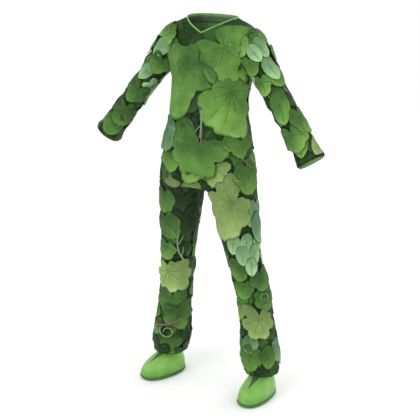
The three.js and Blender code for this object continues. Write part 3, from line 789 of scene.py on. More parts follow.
def make_leaf(tube_name, at, angle, size, shape, turn, tone, out, lift, grid, chance, curl=1.0):
    """One leaf laid on the cloth: its points, faces and what the materials need to know."""
    centre, outward, along, side = TUBES[tube_name].axes(at, math.radians(angle))
    radius = bend_radius(tube_name, at, angle) * MM
    size *= MM
    rings, spokes = grid
    twist, wave, bow = chance.uniform(-1, 1), chance.uniform(0, 6.28), chance.uniform(0.4, 1)
    spin = math.radians(turn)
    limits = PLACED_LIMITS if grid == MAIN_GRID else SEWN_LIMITS
    outline = leaf_outline(tube_name, at, angle, size, shape, spin, spokes, limits)
    points, outs, vein, prints = [], [], [], []
    for ring in range(rings + 1):
        share = (ring / rings) ** 0.9
        for k in range(spokes if ring else 1):
            theta = 2 * math.pi * k / spokes
            r = outline[k] * share
            heading = theta + spin
            u, v = r * math.sin(heading), r * math.cos(heading)
            bend = u / radius
            facing = outward * math.cos(bend) + side * math.sin(bend)
            start = centre - outward * radius + facing * radius + along * v
            found = find_skin(tube_name, start, facing)
            base = found if found is not None else start
            main, aside = veins(shape, theta, r, share)
            down = r * math.cos(theta) / size
            ripple = 1.2 * curl * share ** 3 * math.sin(3 * theta + wave) * bow
            crease = -PALM_RELIEF * math.exp(-(aside / 0.005) ** 2) * min(1, size / 0.06)
            crease *= ease(0, 0.22, share) * (1 - share ** 4)
            height_out = out + lift * ease(-0.5, 1, down) + ripple + crease + 1.4 * curl * bow * share ** 4
            points.append(base + facing * max(height_out, out * 0.7) * MM)
            outs.append(facing)
            if shape in ONE_RIB:
                main += size * 0.9
            vein.append((main, aside, share))
            prints.append((tone, down + 0.25 * twist * math.sin(theta), size))
    faces = [[0, 1 + k, 1 + (k + 1) % spokes] for k in range(spokes)]
    faces += [face[::-1] for face in rings_to_faces(rings, spokes, first=1)]
    if side.cross(along).dot(outward) > 0:
        faces = [face[::-1] for face in faces]
    return {"points": points, "faces": faces, "outs": outs, "vein": vein, "print": prints}


def place_leaf(zone, tube_name, at, angle, size, shape, turn, tone, look, layer, chance, node=None):
    """Hangs one leaf with the middle of its outline at a place."""
    placed.append((tube_name, TUBES[tube_name].point(at, math.radians(angle)), size))
    stem_at, stem_angle = vein_centre(tube_name, at, angle, size, shape, turn)
    leaf = make_leaf(tube_name, stem_at, stem_angle, size, shape, turn, tone,
                     MAIN_OUT + layer * LAYER_OUT, 1.5, MAIN_GRID, chance)
    name = "leaf_on_" + node.replace("_leaf", "") if node else f"{zone}_placed_{look}_leaves"
    leaves.setdefault((zone, look, name, node), []).append(leaf)


def node_place(node, tube_name, down=0.0, turn=0.0):
    """Place and angle on a tube of a node's middle, moved down in millimetres and round in degrees."""
    low, high = (Vector(corner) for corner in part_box(node))
    tube = TUBES[tube_name]
    at, angle, _ = place_on(tube, (low + high) / 2)
    return at + down if tube.down else at - down, math.degrees(angle) + turn


def place_main_leaves():
    chance = random.Random(5)
    for node, zone, tube_name, shape, turn, tone, look, layer, length, down, around in MAIN_LEAVES:
        low, high = (Vector(corner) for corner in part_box(node))
        size = length * (high - low).length / NODE_DIAGONAL / MM
        at, angle = node_place(node, tube_name, down, around)
        place_leaf(zone, tube_name, at, angle, size, shape, turn, tone, look, layer, chance, node)


def hang_string(zone, tube_name, first, last, count, about, swing, size, shapes, looks, tone, layer=1,
                seed=1):
    """A string of leaves between two places, which swing to one side and the other of an angle."""
    chance = random.Random(seed * 100 + count)
    for k in range(count):
        at = first + (last - first) * k / max(count - 1, 1)
        sign = 1 if k % 2 else -1
        place_leaf(zone, tube_name, at, about + swing * sign, size * chance.uniform(0.9, 1.1),
                   shapes[k % len(shapes)], 12 * sign + chance.uniform(-8, 8),
                   tone + chance.uniform(-0.08, 0.08), looks[k % len(looks)], layer + k % 2, chance)


def hang_bunch(zone, tube_name, top, angle, rows, size, look, tone, layer=1):
    """Oval leaves in rows of one fewer each, like a bunch of grapes that hangs point down."""
    chance = random.Random(rows)
    for row in range(rows):
        count = rows - row
        for k in range(count):
            aside = (k - (count - 1) / 2) * math.degrees(size * 1.05 / bend_radius(tube_name, top, angle))
            place_leaf(zone, tube_name, top - row * size * 0.95, angle + aside, size * (1 - 0.06 * row),
                       "ovate", chance.uniform(-10, 10), tone + 0.08 * row, look, layer + row, chance)


def hang_strings():
    greens, mixed = ("green",), ("green", "sage")
    hang_string("left_upper_sleeve", "left_sleeve", 0, 160, 5, -60, 30, 48, ("heart", "ovate"), mixed, .62)
    hang_string("left_lower_sleeve", "left_sleeve", 260, 400, 3, -40, 30, 62, ("ovate", "heart"), greens, .6)
    hang_string("right_upper_sleeve", "right_sleeve", 40, 160, 3, -80, 15, 52, ("ovate", "grape"),
                ("sage", "green"), .5)
    hang_string("right_lower_sleeve", "right_sleeve", 250, 350, 2, -75, 5, 64, ("grape", "heart"), greens,
                .42)
    for hand, side in SIDES.items():
        hang_string(f"{hand}_upper_sleeve", f"{hand}_sleeve", 0, 150, 3, -90 + side * 100, 25, 54, ("heart",),
                    greens, .55, seed=3)
        hang_string("torso", "torso", 1400, 1390, 2, -90 + side * 60, 12, 46, ("heart", "grape"), greens, .6,
                    layer=0, seed=4)
    hang_string("torso", "torso", 1090, 1040, 2, -145, 5, 84, ("heart",), ("sage",), .2, layer=0)
    hang_string("torso", "torso", 1180, 1080, 3, -80, 15, 62, ("heart", "ovate"), ("dark",), .3, layer=0)
    hang_string("torso", "torso", 1290, 1270, 2, -30, 12, 48, ("round", "ovate"), greens, .5, layer=0)
    hang_string("torso", "seat", 920, 900, 2, -40, 25, 80, ("maple", "heart"), ("pale", "green"), .6)
    hang_bunch("left_lower_leg", "left_leg", 650, -40, 3, 48, "sage", .62)
    hang_string("left_upper_leg", "left_leg", 760, 700, 2, 0, 5, 72, ("heart", "ovate"), ("sage",), .45)
    hang_string("left_lower_leg", "left_leg", 540, 420, 4, -50, 35, 58, ("heart", "grape"), greens, .46,
                layer=0)
    hang_string("left_lower_leg", "left_leg", 180, 170, 1, -60, 30, 68, ("heart",), greens, .46)
    hang_string("left_lower_leg", "left_leg", 240, 230, 1, -60, 30, 40, ("round",), ("sage",), .3, layer=0)
    hang_string("right_upper_leg", "right_leg", 780, 680, 2, -100, 5, 72, ("heart",), greens, .46)
    hang_string("right_upper_leg", "right_leg", 780, 700, 2, -50, 5, 80, ("grape",), ("dark",), .25, layer=0)
    hang_string("right_lower_leg", "right_leg", 570, 560, 1, -90, 10, 58, ("heart",), greens, .46)
    hang_string("right_lower_leg", "right_leg", 340, 280, 2, -60, 15, 84, ("grape", "maple"), greens, .5)


# Where loose leaves are sewn all over: zone, tube, lowest and highest place.
FIELDS = [("torso", "torso", 992, 1432), ("torso", "seat", 862, 985)]
for hand in SIDES:
    FIELDS += [(f"{hand}_upper_sleeve", f"{hand}_sleeve", 18, 196),
               (f"{hand}_lower_sleeve", f"{hand}_sleeve", 232, 446),
               (f"{hand}_upper_leg", f"{hand}_leg", 645, 826), (f"{hand}_lower_leg", f"{hand}_leg", 122, 592)]
FILL_SHAPES = ("grape", "heart", "maple", "grape", "ovate")
UNDER_STEP, OVER_STEP = 58, 92


def near_placed(tube_name, point, share):
    """Whether a point lies under or beside a leaf that is placed one by one."""
    return any(name == tube_name and (middle - point).length < share * size * MM + 0.02
               for name, middle, size in placed)


def sow(step, size_low, size_high, out, lift, tones, looks, kind, seed, clear, curl):
    """Leaves in rows round every tube, each row's tips over the next row's stems."""
    chance = random.Random(seed)
    for zone, tube_name, low, high in FIELDS:
        tube = TUBES[tube_name]
        rows = max(2, round((high - low) / step) + 1)
        for row in range(rows):
            at = low + (high - low) * row / (rows - 1)
            count = max(4, round(tube.around(at) / MM / (step * 1.22)))
            for k in range(count):
                angle = 360 * (k + 0.5 * (row % 2)) / count + chance.uniform(-0.25, 0.25) * 360 / count
                place = min(max(at + chance.uniform(-0.2, 0.2) * step, low), high)
                size, tone = chance.uniform(size_low, size_high), chance.uniform(*tones)
                shape, look = chance.choice(FILL_SHAPES), chance.choice(looks)
                turn, raise_it = chance.uniform(-38, 38), 0.8 * (k % 2)
                angle = (angle + 180) % 360 - 180
                spot = tube.point(place, math.radians(angle))
                if tube_name == "torso" and (spot.z > neck_height(spot.x) - 0.028 and spot.y < 0
                                             or spot.z > height(1425)):
                    continue
                if tube_name.endswith("sleeve") and place < 60 and abs(spot.x) < 0.172:
                    continue
                if tube_name.endswith("leg") and place > 770 and abs(spot.x) < 0.036:
                    continue
                if near_placed(tube_name, spot, clear):
                    continue
                leaf = make_leaf(tube_name, place, angle, size, shape, turn, tone, out + raise_it, lift,
                                 FILL_GRID, chance, curl)
                leaves.setdefault((zone, look, f"{zone}_{kind}_{look}_leaves", None), []).append(leaf)


place_main_leaves()
hang_strings()
sow(UNDER_STEP, 40, 58, 0.9, 1.6, (0.12, 0.5), ("dark", "dark", "dark", "green"), "under", 21, 0.2, 0.4)
sow(OVER_STEP, 48, 80, 2.9, 1.9, (0.3, 0.7), ("green", "green", "green", "sage", "pale", "dark"), "over", 44,
    0.8, 0.7)


# ---- Shade where leaves lie over leaves or cloth ----------------------------------------------------
SHADE_REACH = 24 * MM
SHADE_TILTS = ((0.0, 1), (0.9, 6), (1.2, 8), (1.36, 8))    # angle from the normal and how many rays round it


def shade_of(tree, point, normal):
    """Share of rays leaving a point that meet a leaf close above it."""
    side = normal.orthogonal().normalized()
    other = normal.cross(side)
    hits, rays = 0.0, 0
    for tilt, count in SHADE_TILTS:
        for k in range(count):
            turn = 2 * math.pi * k / count
            ray = normal * math.cos(tilt) + (side * math.cos(turn) + other * math.sin(turn)) * math.sin(tilt)
            distance = tree.ray_cast(point + normal * 0.0009, ray, SHADE_REACH)[3]
            rays += 1
            if distance is not None:
                hits += 1 - 0.5 * distance / SHADE_REACH
    return hits / rays


def leaf_tree():
    points, faces = [], []
    for group in leaves.values():
        for leaf in group:
            first = len(points)
            points += leaf["points"]
            faces += [tuple(i + first for i in face) for face in leaf["faces"]]
    return BVHTree.FromPolygons(points, faces)


def build_leaves():
    tree = leaf_tree()
    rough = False
    for (zone, look, name, stands_for), group in leaves.items():
        points, faces, vein, prints, shade = [], [], [], [], []
        for leaf in group:
            first = len(points)
            points += leaf["points"]
            faces += [[i + first for i in face] for face in leaf["faces"]]
            vein += leaf["vein"]
            prints += leaf["print"]
            for point, outward in zip(leaf["points"], leaf["outs"]):
                shade.append(0.3 if rough else shade_of(tree, point, outward))
        obj = add_object(name, points, faces)
        store(obj.data, "rest_place", mesh_points(obj.data))
        store(obj.data, "leaf_vein", np.array(vein))
        store(obj.data, "leaf_print", np.array(prints))
        store(obj.data, "shade", np.array(shade))
        if "under" not in name:
            thicken(obj, 0.7)
        obj.data.materials.append(LEAF_LOOKS[look])
        fasten(obj, zone, "leaf_" + look, *([stands_for] if stands_for else []))
    for obj in skins:
        points, normals = mesh_points(obj.data), mesh_points(obj.data, "normal")
        values = [0.3 if rough else shade_of(tree, Vector(p), Vector(n)) for p, n in zip(points, normals)]
        store(obj.data, "shade", np.array(values))


# ---- Trims ------------------------------------------------------------------------------------------
PATH_STEP = 3 * MM
TWIG_STEP = 4
FORK_ANGLE = 48
FORK_SHARE = 0.34                # a fork's length and thickness, as shares of the twig's
FORK_THICK = 0.6
PIPING = 2.3                     # radius of the cord round the neck
ELASTIC_RIBS, ELASTIC_SIDES = 34, 170


def swept(path, radius, around=10, closed=False):
    """Points and faces of a round cord. Its radius is a number, or a function of the share of its length."""
    size = radius if callable(radius) else (lambda share: radius)
    count = len(path)
    points = []
    up = None
    for i, here in enumerate(path):
        before = path[(i - 1) % count] if closed or i else path[0]
        after = path[(i + 1) % count] if closed or i + 1 < count else path[-1]
        ahead = (after - before).normalized()
        if up is None:
            up = ahead.orthogonal().normalized()
        up = (up - ahead * up.dot(ahead)).normalized()
        side = ahead.cross(up)
        r = size(i / (count - 1)) * MM
        for k in range(around):
            turn = 2 * math.pi * k / around
            points.append(here + up * (r * math.cos(turn)) + side * (r * math.sin(turn)))
    faces = rings_to_faces(count, around, closed_path=closed)
    if not closed:
        faces += end_faces(count, around)
    return points, faces


def smooth_path(points, closed=False):
    """A smooth curve through points, with even steps."""
    chain = [Vector(p) for p in points]
    dense = []
    spans = len(chain) if closed else len(chain) - 1
    for i in range(spans):
        p1, p2 = chain[i], chain[(i + 1) % len(chain)]
        p0 = chain[i - 1] if i or closed else p1
        p3 = chain[(i + 2) % len(chain)] if closed or i + 2 < len(chain) else p2
        for k in range(8):
            t = k / 8
            dense.append(0.5 * (2 * p1 + (p2 - p0) * t + (2 * p0 - 5 * p1 + 4 * p2 - p3) * t * t
                                + (3 * p1 - p0 - 3 * p2 + p3) * t ** 3))
    dense.append(chain[0] if closed else chain[-1])
    lengths = np.cumsum([0] + [(b - a).length for a, b in zip(dense, dense[1:])])
    total = lengths[-1]
    count = max(4, int(total / PATH_STEP))
    wanted = np.linspace(0, total, count + 1)
    flat = np.array([tuple(p) for p in dense])
    even = np.stack([np.interp(wanted, lengths, flat[:, i]) for i in range(3)], axis=1)
    result = [Vector(p) for p in even]
    return result[:-1] if closed else result


def on_cloth(tube_name, at, angle, out):
    """A point that stands a few millimetres out of the cloth."""
    here, outward, _, _ = TUBES[tube_name].axes(at, math.radians(angle))
    found = find_skin(tube_name, here, outward)
    return (found if found is not None else here) + outward * out * MM


def walk(tube_name, at, angle, heading, length, turn, tighten):
    """A route over the cloth that bends evenly, or tighter towards its tip.

    Heading 0 runs to the tube's free end and 90 degrees towards larger angles. turn is the whole bend.
    """
    tube = TUBES[tube_name]
    steps = round(length / TWIG_STEP)
    direction = math.radians(heading)
    route = [(at, angle, direction)]
    for k in range(steps):
        direction += math.radians(turn) / steps * (1 + tighten * (2 * (k + 0.5) / steps - 1))
        at += math.cos(direction) * TWIG_STEP * (1 if tube.down else -1)
        angle += math.degrees(math.sin(direction) * TWIG_STEP / bend_radius(tube_name, at, angle))
        route.append((at, angle, direction))
    return route


def make_twig(name, zone, tube_name, start, heading, length, turn, foot, tip, look, out=12, tighten=0.0,
              forks=0):
    """A twig or tendril that lies over the leaves, with forks to one side and the other."""
    main = walk(tube_name, *start, heading, length, turn, tighten)
    routes = [(main, foot, tip)]
    for k in range(forks):
        at, angle, direction = main[int(len(main) * (k + 1) / (forks + 0.8))]
        side = FORK_ANGLE if k % 2 else -FORK_ANGLE
        fork = walk(tube_name, at, angle, math.degrees(direction) + side, length * FORK_SHARE, -side * 0.6, 0)
        routes.append((fork, foot * FORK_THICK, tip * 0.5))
    points, faces = [], []
    for route, thick, thin in routes:
        path = smooth_path([on_cloth(tube_name, at, angle, out) for at, angle, _ in route])

        def radius(share):
            knots = 0.22 * max(0.0, noise.noise(Vector((share * 9, thick, length))))
            return (thick + (thin - thick) * share) / 2 * (1 + knots)

        new_points, new_faces = swept(path, radius)
        faces += [[i + len(points) for i in face] for face in new_faces]
        points += new_points
    finish_piece(add_object(name, points, faces), zone, "twig", look)


def make_twigs():
    below_breast = node_place("breast_leaf", "torso", 80, 18)
    make_twig("belly_stem", "torso", "torso", below_breast, 5, 100, -10, 6.5, 5, "tendril", out=10,
              forks=1)
    below_breast = node_place("breast_leaf", "torso", 75, 14)
    make_twig("belly_creeper", "torso", "torso", below_breast, 20, 130, -30, 6, 4.5, "twig", out=6)
    hip = node_place("side_leaf", "torso", 50, 0)
    make_twig("hip_twig", "torso", "seat", hip, 10, 70, 50, 4.5, 3, "twig", out=12)
    above_knee = node_place("knee_leaf", "right_leg", -75, 35)
    make_twig("thigh_branch", "right_lower_leg", "right_leg", above_knee, -145, 130, -45, 7.5, 4.5, "tendril",
              forks=4)
    make_twig("shin_twig", "right_lower_leg", "right_leg", (230, -120), 95, 115, 30, 9, 5.5, "twig", forks=1)
    make_twig("shin_tendril", "right_lower_leg", "right_leg", (225, -98), -10, 140, 380, 5, 3, "tendril",
              tighten=0.5)
    make_twig("knee_tendril", "left_lower_leg", "left_leg", (410, -20), 120, 100, 380, 3.5, 2, "tendril",
              tighten=0.4)


def make_piping():
    """A round binding along the edge of the neck opening."""
    body = next(obj for obj in skins if obj.name == "smock_body")
    edge, closed = boundary_loop(body.data, lambda p: p.z > height(V_POINT) - 0.004 and abs(p.x) < 0.12)
    path = smooth_path(edge[::3], closed=closed)
    for _ in range(2):
        path = [(path[i - 1] + path[i] * 2 + path[(i + 1) % len(path)]) / 4 for i in range(len(path))]
    piping = add_object("neck_binding", *swept(path, PIPING, around=12, closed=closed))
    finish_piece(piping, "torso", "piping", "piping", "neck_piping", "back_neck_band")


def make_facing():
    """The strip of lining inside the neck opening."""
    lining = cut(smock_skin, across(-NECK_HALF * 1.5, 1), across(NECK_HALF * 1.5, -1),
                 above(V_POINT - FACING * 1.6))
    work = opened(cut_neck(lining, drop=1.0))
    far = []
    for face in work.faces:
        middle = face.calc_center_median()
        edge = neck_height(middle.x) if middle.y < 0 else 0
        if middle.z < edge - FACING * MM:
            far.append(face)
    bmesh.ops.delete(work, geom=far, context="FACES")
    lining = finished(work, "facing")
    set_points(lining, mesh_points(lining) - mesh_points(lining, "normal") * FACING_IN * MM)
    facing = link("neck_lining", lining)
    thicken(facing, 1.0)
    finish_piece(facing, "torso", "facing", "facing", "neck_facing")


def make_elastic(name, tube, at, half, out, zone, *stands_for):
    """A ribbed band that gathers the cloth from inside."""
    angles = [2 * math.pi * k / ELASTIC_SIDES for k in range(ELASTIC_SIDES)]
    places = spread(at - half, at + half, 3)
    profile = [(place, 0.0) for place in places] + [(place, -1.5) for place in reversed(places)]
    points = []
    for place, inner in profile:
        points += [tube.point(place, angle, out + 0.45 * math.sin(ELASTIC_RIBS * angle) + inner)
                   for angle in angles]
    faces = rings_to_faces(len(profile), ELASTIC_SIDES, closed_path=True)
    if tube.down:
        faces = [face[::-1] for face in faces]
    finish_piece(add_object(name, points, faces), zone, "elastic", "elastic", *stands_for)


def make_elastics():
    make_elastic("waist_band_elastic", TUBES["seat"], 1042, 18, -6.0, "torso", "waist_elastic")
    for hand in SIDES:
        make_elastic(f"{hand}_wrist_elastic", TUBES[f"{hand}_sleeve"], 451, 7, -11.0, f"{hand}_forearm",
                     f"{hand}_cuff_elastic")
        make_elastic(f"{hand}_hem_elastic", TUBES[f"{hand}_leg"], 114, 7, -10.0, f"{hand}_shin",
                     f"{hand}_ankle_elastic")


# ---- Overshoes --------------------------------------------------------------------------------------
GORE_TOE, GORE_HALF, GORE_TOP = -108, 26, 30
SHOE_SIDES = 96
# Parts that run round the shoe: name, finish, material, node that each stands for, and its cross-section as
# (height, distance out). The rim's cross-section is closed, and the others end in flat plates.
RING_PARTS = [
    ("sole", "shoe_sole", "sole", "shoe_sole",
     [(0, -30), (0, -5), (0.6, -1.4), (2.2, 0.2), (SOLE - 2, 0.6), (SOLE - 0.4, 0.2), (SOLE, -30)]),
    ("rim", "shoe_sole", "sole", "shoe_rim",
     [(3, 0.3), (4.5, 2.0), (8, 2.9), (12.5, 2.9), (15.6, 2.1), (17, 0.3), (10, 0.1)]),
    ("insole", "facing", "facing", "insole",
     [(SOLE + 0.4, -4.4), (SOLE + 3.2, -4.4), (SOLE + 4, -6), (SOLE + 4, -36)]),
]


def shoe_ring(hand, profile, closed=False):
    """Points and faces round the shoe, from a cross-section of (height, distance out)."""
    tube = TUBES[f"{hand}_shoe"]
    points = []
    for at, out in profile:
        points += [tube.point(at, 2 * math.pi * k / SHOE_SIDES, out) for k in range(SHOE_SIDES)]
    return points, rings_to_faces(len(profile), SHOE_SIDES, closed_path=closed)


def make_shoe_upper(hand):
    """The upper, which keeps each point's distance from the gore's seam for its material."""
    into = TUBES[f"{hand}_shoe"].place.inverted()
    rings = [(at, 0.0) for at in spread(SOLE, SHOE_TOP, 2.5)]
    upper = add_object(f"{hand}_slipper_upper", *shoe_ring(hand, rings))
    relax(upper.data, 4, 0.4)
    seams = []
    for point in mesh_points(upper.data):
        local = into @ (Vector(point) / MM)
        half = GORE_HALF * (local.y - GORE_TOE) / -GORE_TOE
        seams.append((abs(local.x) - max(half, 0), local.y, local.z))
    store(upper.data, "shoe_place", np.array(seams))
    thicken(upper, 3.4)
    finish_piece(upper, f"{hand}_shoe", "shoe_upper", "shoe", f"{hand}_shoe_upper")
    return upper


def make_shoe_gore(hand, upper):
    """The wedge on the instep, cut from the upper's surface and lifted off it a little."""
    place = TUBES[f"{hand}_shoe"].place
    turn = place.to_3x3()
    rise = GORE_HALF / -GORE_TOE
    toe, top = (0, GORE_TOE, 0), (0, -GORE_TOP, 0)
    work = opened(upper.data)
    for point, normal in ((toe, (-1, rise, 0)), (toe, (1, rise, 0)), (top, (0, -1, 0))):
        slice_at(work, place @ Vector(point) * MM, turn @ Vector(normal).normalized())
    mesh = finished(work, "gore")
    gore = link(f"{hand}_slipper_gore", mesh)
    set_points(mesh, mesh_points(mesh) + mesh_points(mesh, "normal") * 0.5 * MM)
    thicken(gore, 1.4)
    finish_piece(gore, f"{hand}_shoe", "shoe_gore", "gore", f"{hand}_instep_gore")


def make_shoe(hand):
    make_shoe_gore(hand, make_shoe_upper(hand))
    for name, slot, material, node, profile in RING_PARTS:
        closed = name == "rim"
        points, faces = shoe_ring(hand, profile, closed)
        if not closed:
            faces += end_faces(len(profile), SHOE_SIDES)
        part = add_object(f"{hand}_slipper_{name}", points, faces)
        finish_piece(part, f"{hand}_shoe", slot, material, f"{hand}_{node}")


# ---- Materials --------------------------------------------------------------------------------------
class Graph:
    """A short way to write a material's nodes."""

    def __init__(self, name, roughness, sheen=0.0, coat=0.0):
        self.material = bpy.data.materials.new(name)
        self.material.use_nodes = True
        self.nodes = self.material.node_tree.nodes
        self.shader = self.nodes["Principled BSDF"]
        self.shader.inputs["Roughness"].default_value = roughness
        self.shader.inputs["Sheen Weight"].default_value = sheen
        self.shader.inputs["Sheen Roughness"].default_value = 0.5
        self.shader.inputs["Coat Weight"].default_value = coat
        self.shader.inputs["Coat Roughness"].default_value = 0.35
        self.shader.inputs["Specular IOR Level"].default_value = 0.14

    def link(self, value, socket):
        if isinstance(value, (int, float)):
            socket.default_value = value
        elif isinstance(value, tuple):
            socket.default_value = (*value, 1) if len(socket.default_value) == 4 else value
        else:
            self.material.node_tree.links.new(value, socket)

    def math(self, operation, *values):
        node = self.nodes.new("ShaderNodeMath")
        node.operation = operation
        for value, socket in zip(values, node.inputs):
            self.link(value, socket)
        return node.outputs[0]

    def times(self, a, b):
        return self.math("MULTIPLY", a, b)

    def minus(self, a, b):
        return self.math("SUBTRACT", a, b)

    def times_plus(self, a, b, added):
        return self.math("MULTIPLY_ADD", a, b, added)

    def attribute(self, name, output="Vector"):
        node = self.nodes.new("ShaderNodeAttribute")
        node.attribute_name = name
        return node.outputs[output]

    def split(self, vector):
        node = self.nodes.new("ShaderNodeSeparateXYZ")
        self.link(vector, node.inputs[0])
        return node.outputs

    def mix(self, share, a, b):
        node = self.nodes.new("ShaderNodeMix")
        node.data_type = "RGBA"
        for value, socket in zip((share, a, b), (node.inputs[0], node.inputs[6], node.inputs[7])):
            self.link(value, socket)
        return node.outputs[2]

    def ramp(self, value, *stops):
        node = self.nodes.new("ShaderNodeValToRGB")
        while len(node.color_ramp.elements) < len(stops):
            node.color_ramp.elements.new(0.5)
        for element, (place, colour) in zip(node.color_ramp.elements, stops):
            element.position = place
            element.color = (*colour, 1)
        self.link(value, node.inputs[0])
        return node.outputs[0]

    def vector(self, operation, a, b):
        node = self.nodes.new("ShaderNodeVectorMath")
        node.operation = operation
        self.link(a, node.inputs[0])
        self.link(b, node.inputs[1])
        return node.outputs[0]

    def noise(self, vector, scale, detail, output="Fac"):
        node = self.nodes.new("ShaderNodeTexNoise")
        self.link(vector, node.inputs["Vector"])
        node.inputs["Scale"].default_value = scale
        node.inputs["Detail"].default_value = detail
        return node.outputs[output]

    def cells(self, vector, scale, feature, output="Distance"):
        node = self.nodes.new("ShaderNodeTexVoronoi")
        node.feature = feature
        self.link(vector, node.inputs["Vector"])
        node.inputs["Scale"].default_value = scale
        return node.outputs[output]

    def band(self, value, low, high):
        """0 below low and 1 above high, smooth between. The other way round if low is above high."""
        node = self.nodes.new("ShaderNodeMapRange")
        node.interpolation_type = "SMOOTHSTEP"
        if low > high:
            node.inputs["To Min"].default_value, node.inputs["To Max"].default_value = 1.0, 0.0
            low, high = high, low
        node.inputs["From Min"].default_value = low
        node.inputs["From Max"].default_value = high
        self.link(value, node.inputs[0])
        return node.outputs[0]

    def weave(self, place, pitch):
        """A plain weave: 0 to 1, in threads of the given pitch in metres."""
        x, y, z = self.split(place)
        turn = 2 * math.pi / pitch
        warp = self.math("SINE", self.times(self.math("ADD", x, y), turn))
        weft = self.math("SINE", self.times(z, turn))
        return self.times_plus(self.times(warp, weft), 0.5, 0.5)

    def bump(self, value, depth, previous=None):
        node = self.nodes.new("ShaderNodeBump")
        node.inputs["Distance"].default_value = depth
        node.inputs["Strength"].default_value = 1.0
        self.link(value, node.inputs["Height"])
        if previous is not None:
            self.link(previous, node.inputs["Normal"])
        return node.outputs[0]

    def done(self, colour, normal=None, roughness=None):
        self.link(colour, self.shader.inputs["Base Color"])
        if normal is not None:
            self.link(normal, self.shader.inputs["Normal"])
        if roughness is not None:
            self.link(roughness, self.shader.inputs["Roughness"])
        return self.material


def rgb(text):
    """A colour of the screen, as six hexadecimal digits, in linear light."""
    parts = [int(text[i:i + 2], 16) / 255 for i in (0, 2, 4)]
    return tuple(p / 12.92 if p <= 0.04045 else ((p + 0.055) / 1.055) ** 2.4 for p in parts)


# Each look's blade from its darkest tone to its lightest, and its veins.
LEAF_COLOURS = {
    "green": (("1B3215", "2E4C21", "456A2E", "5F8A3C", "7FA850"), "2A4A1E"),
    "dark": (("15250F", "1F3517", "2B4720", "395A2A", "4A7236"), "14240E"),
    "pale": (("3A5230", "52693D", "6B844A", "87A05C", "A2BA76"), "465F33"),
    "sage": (("3A5A3E", "50744E", "6A9062", "8AB07C", "A8CA98"), "446645"),
}
DEEP_SHADE = rgb("0D1B0A")


def leaf_material(look):
    blade, vein_colour = LEAF_COLOURS[look]
    g = Graph(f"leaf_{look}", 0.62)
    place = g.attribute("rest_place")
    along, aside, share = g.split(g.attribute("leaf_vein"))
    tone, down, size = g.split(g.attribute("leaf_print"))
    shade = g.attribute("shade", "Fac")
    clouds = g.noise(place, 17, 2)
    mottle = g.noise(place, 75, 4)
    grain = g.noise(place, 420, 3)
    light = g.times_plus(down, 0.32, g.minus(tone, 0.08))
    light = g.times_plus(g.minus(clouds, 0.5), 0.55, light)
    light = g.times_plus(g.minus(mottle, 0.5), 0.16, light)
    # Painted shade: darker round the vein centre.
    light = g.times_plus(g.band(share, 0.45, 0.0), -0.14, light)
    light = g.times_plus(g.band(share, 0.7, 1.0), 0.06, light)
    ramp_stops = [(i / 4, rgb(c)) for i, c in enumerate(blade)]
    colour = g.ramp(light, *ramp_stops)
    wiggle = g.times(g.minus(g.noise(place, 60, 1), 0.5), 0.004)
    bent = g.math("ADD", aside, wiggle)
    taper = g.times_plus(share, -0.0011, 0.0016)
    main = g.band(g.minus(g.math("ABSOLUTE", bent), taper), 0.0008, -0.0002)
    pitch = g.times_plus(size, 0.11, 0.0035)
    chevron = g.math("DIVIDE", g.times_plus(bent, -1.15, along), pitch)
    fold = g.math("ABSOLUTE", g.minus(g.math("FRACT", chevron), 0.5))
    width = g.times_plus(share, -0.035, 0.065)
    side_vein = g.band(g.minus(fold, width), 0.03, -0.02)
    net = g.band(g.cells(place, 260, "DISTANCE_TO_EDGE"), 0.07, 0.02)
    colour = g.mix(g.times(net, 0.1), colour, rgb(vein_colour))
    colour = g.mix(g.times(side_vein, 0.2), colour, rgb(vein_colour))
    # Painted highlight: a lighter strip of the blade beside the main vein.
    beside = g.times(g.band(bent, 0.009, 0.001), 0.22)
    colour = g.mix(beside, colour, rgb(blade[3]))
    colour = g.mix(g.times(main, 0.5), colour, rgb(vein_colour))
    rim = g.times(g.band(share, 0.93, 0.995), 0.7)
    colour = g.mix(rim, colour, rgb(vein_colour))
    depth = g.band(shade, 0.05, 0.8)
    colour = g.mix(g.times(depth, 0.93), colour, DEEP_SHADE)
    weave = g.weave(place, 0.0011)
    normal = g.bump(g.times_plus(grain, 0.6, weave), 0.00012)
    pillow = g.minus(g.times(fold, -0.7), g.times(main, 0.8))
    normal = g.bump(pillow, 0.0011, normal)
    rough = g.times_plus(mottle, 0.25, 0.47)
    return g.done(colour, normal, rough)


CLOTH_COLOURS = {
    "smock": ("182C12", "26421D", "375A28"),
    "trousers": ("162911", "233D1B", "335425"),
    "band": ("13240F", "203919", "38592A"),
}


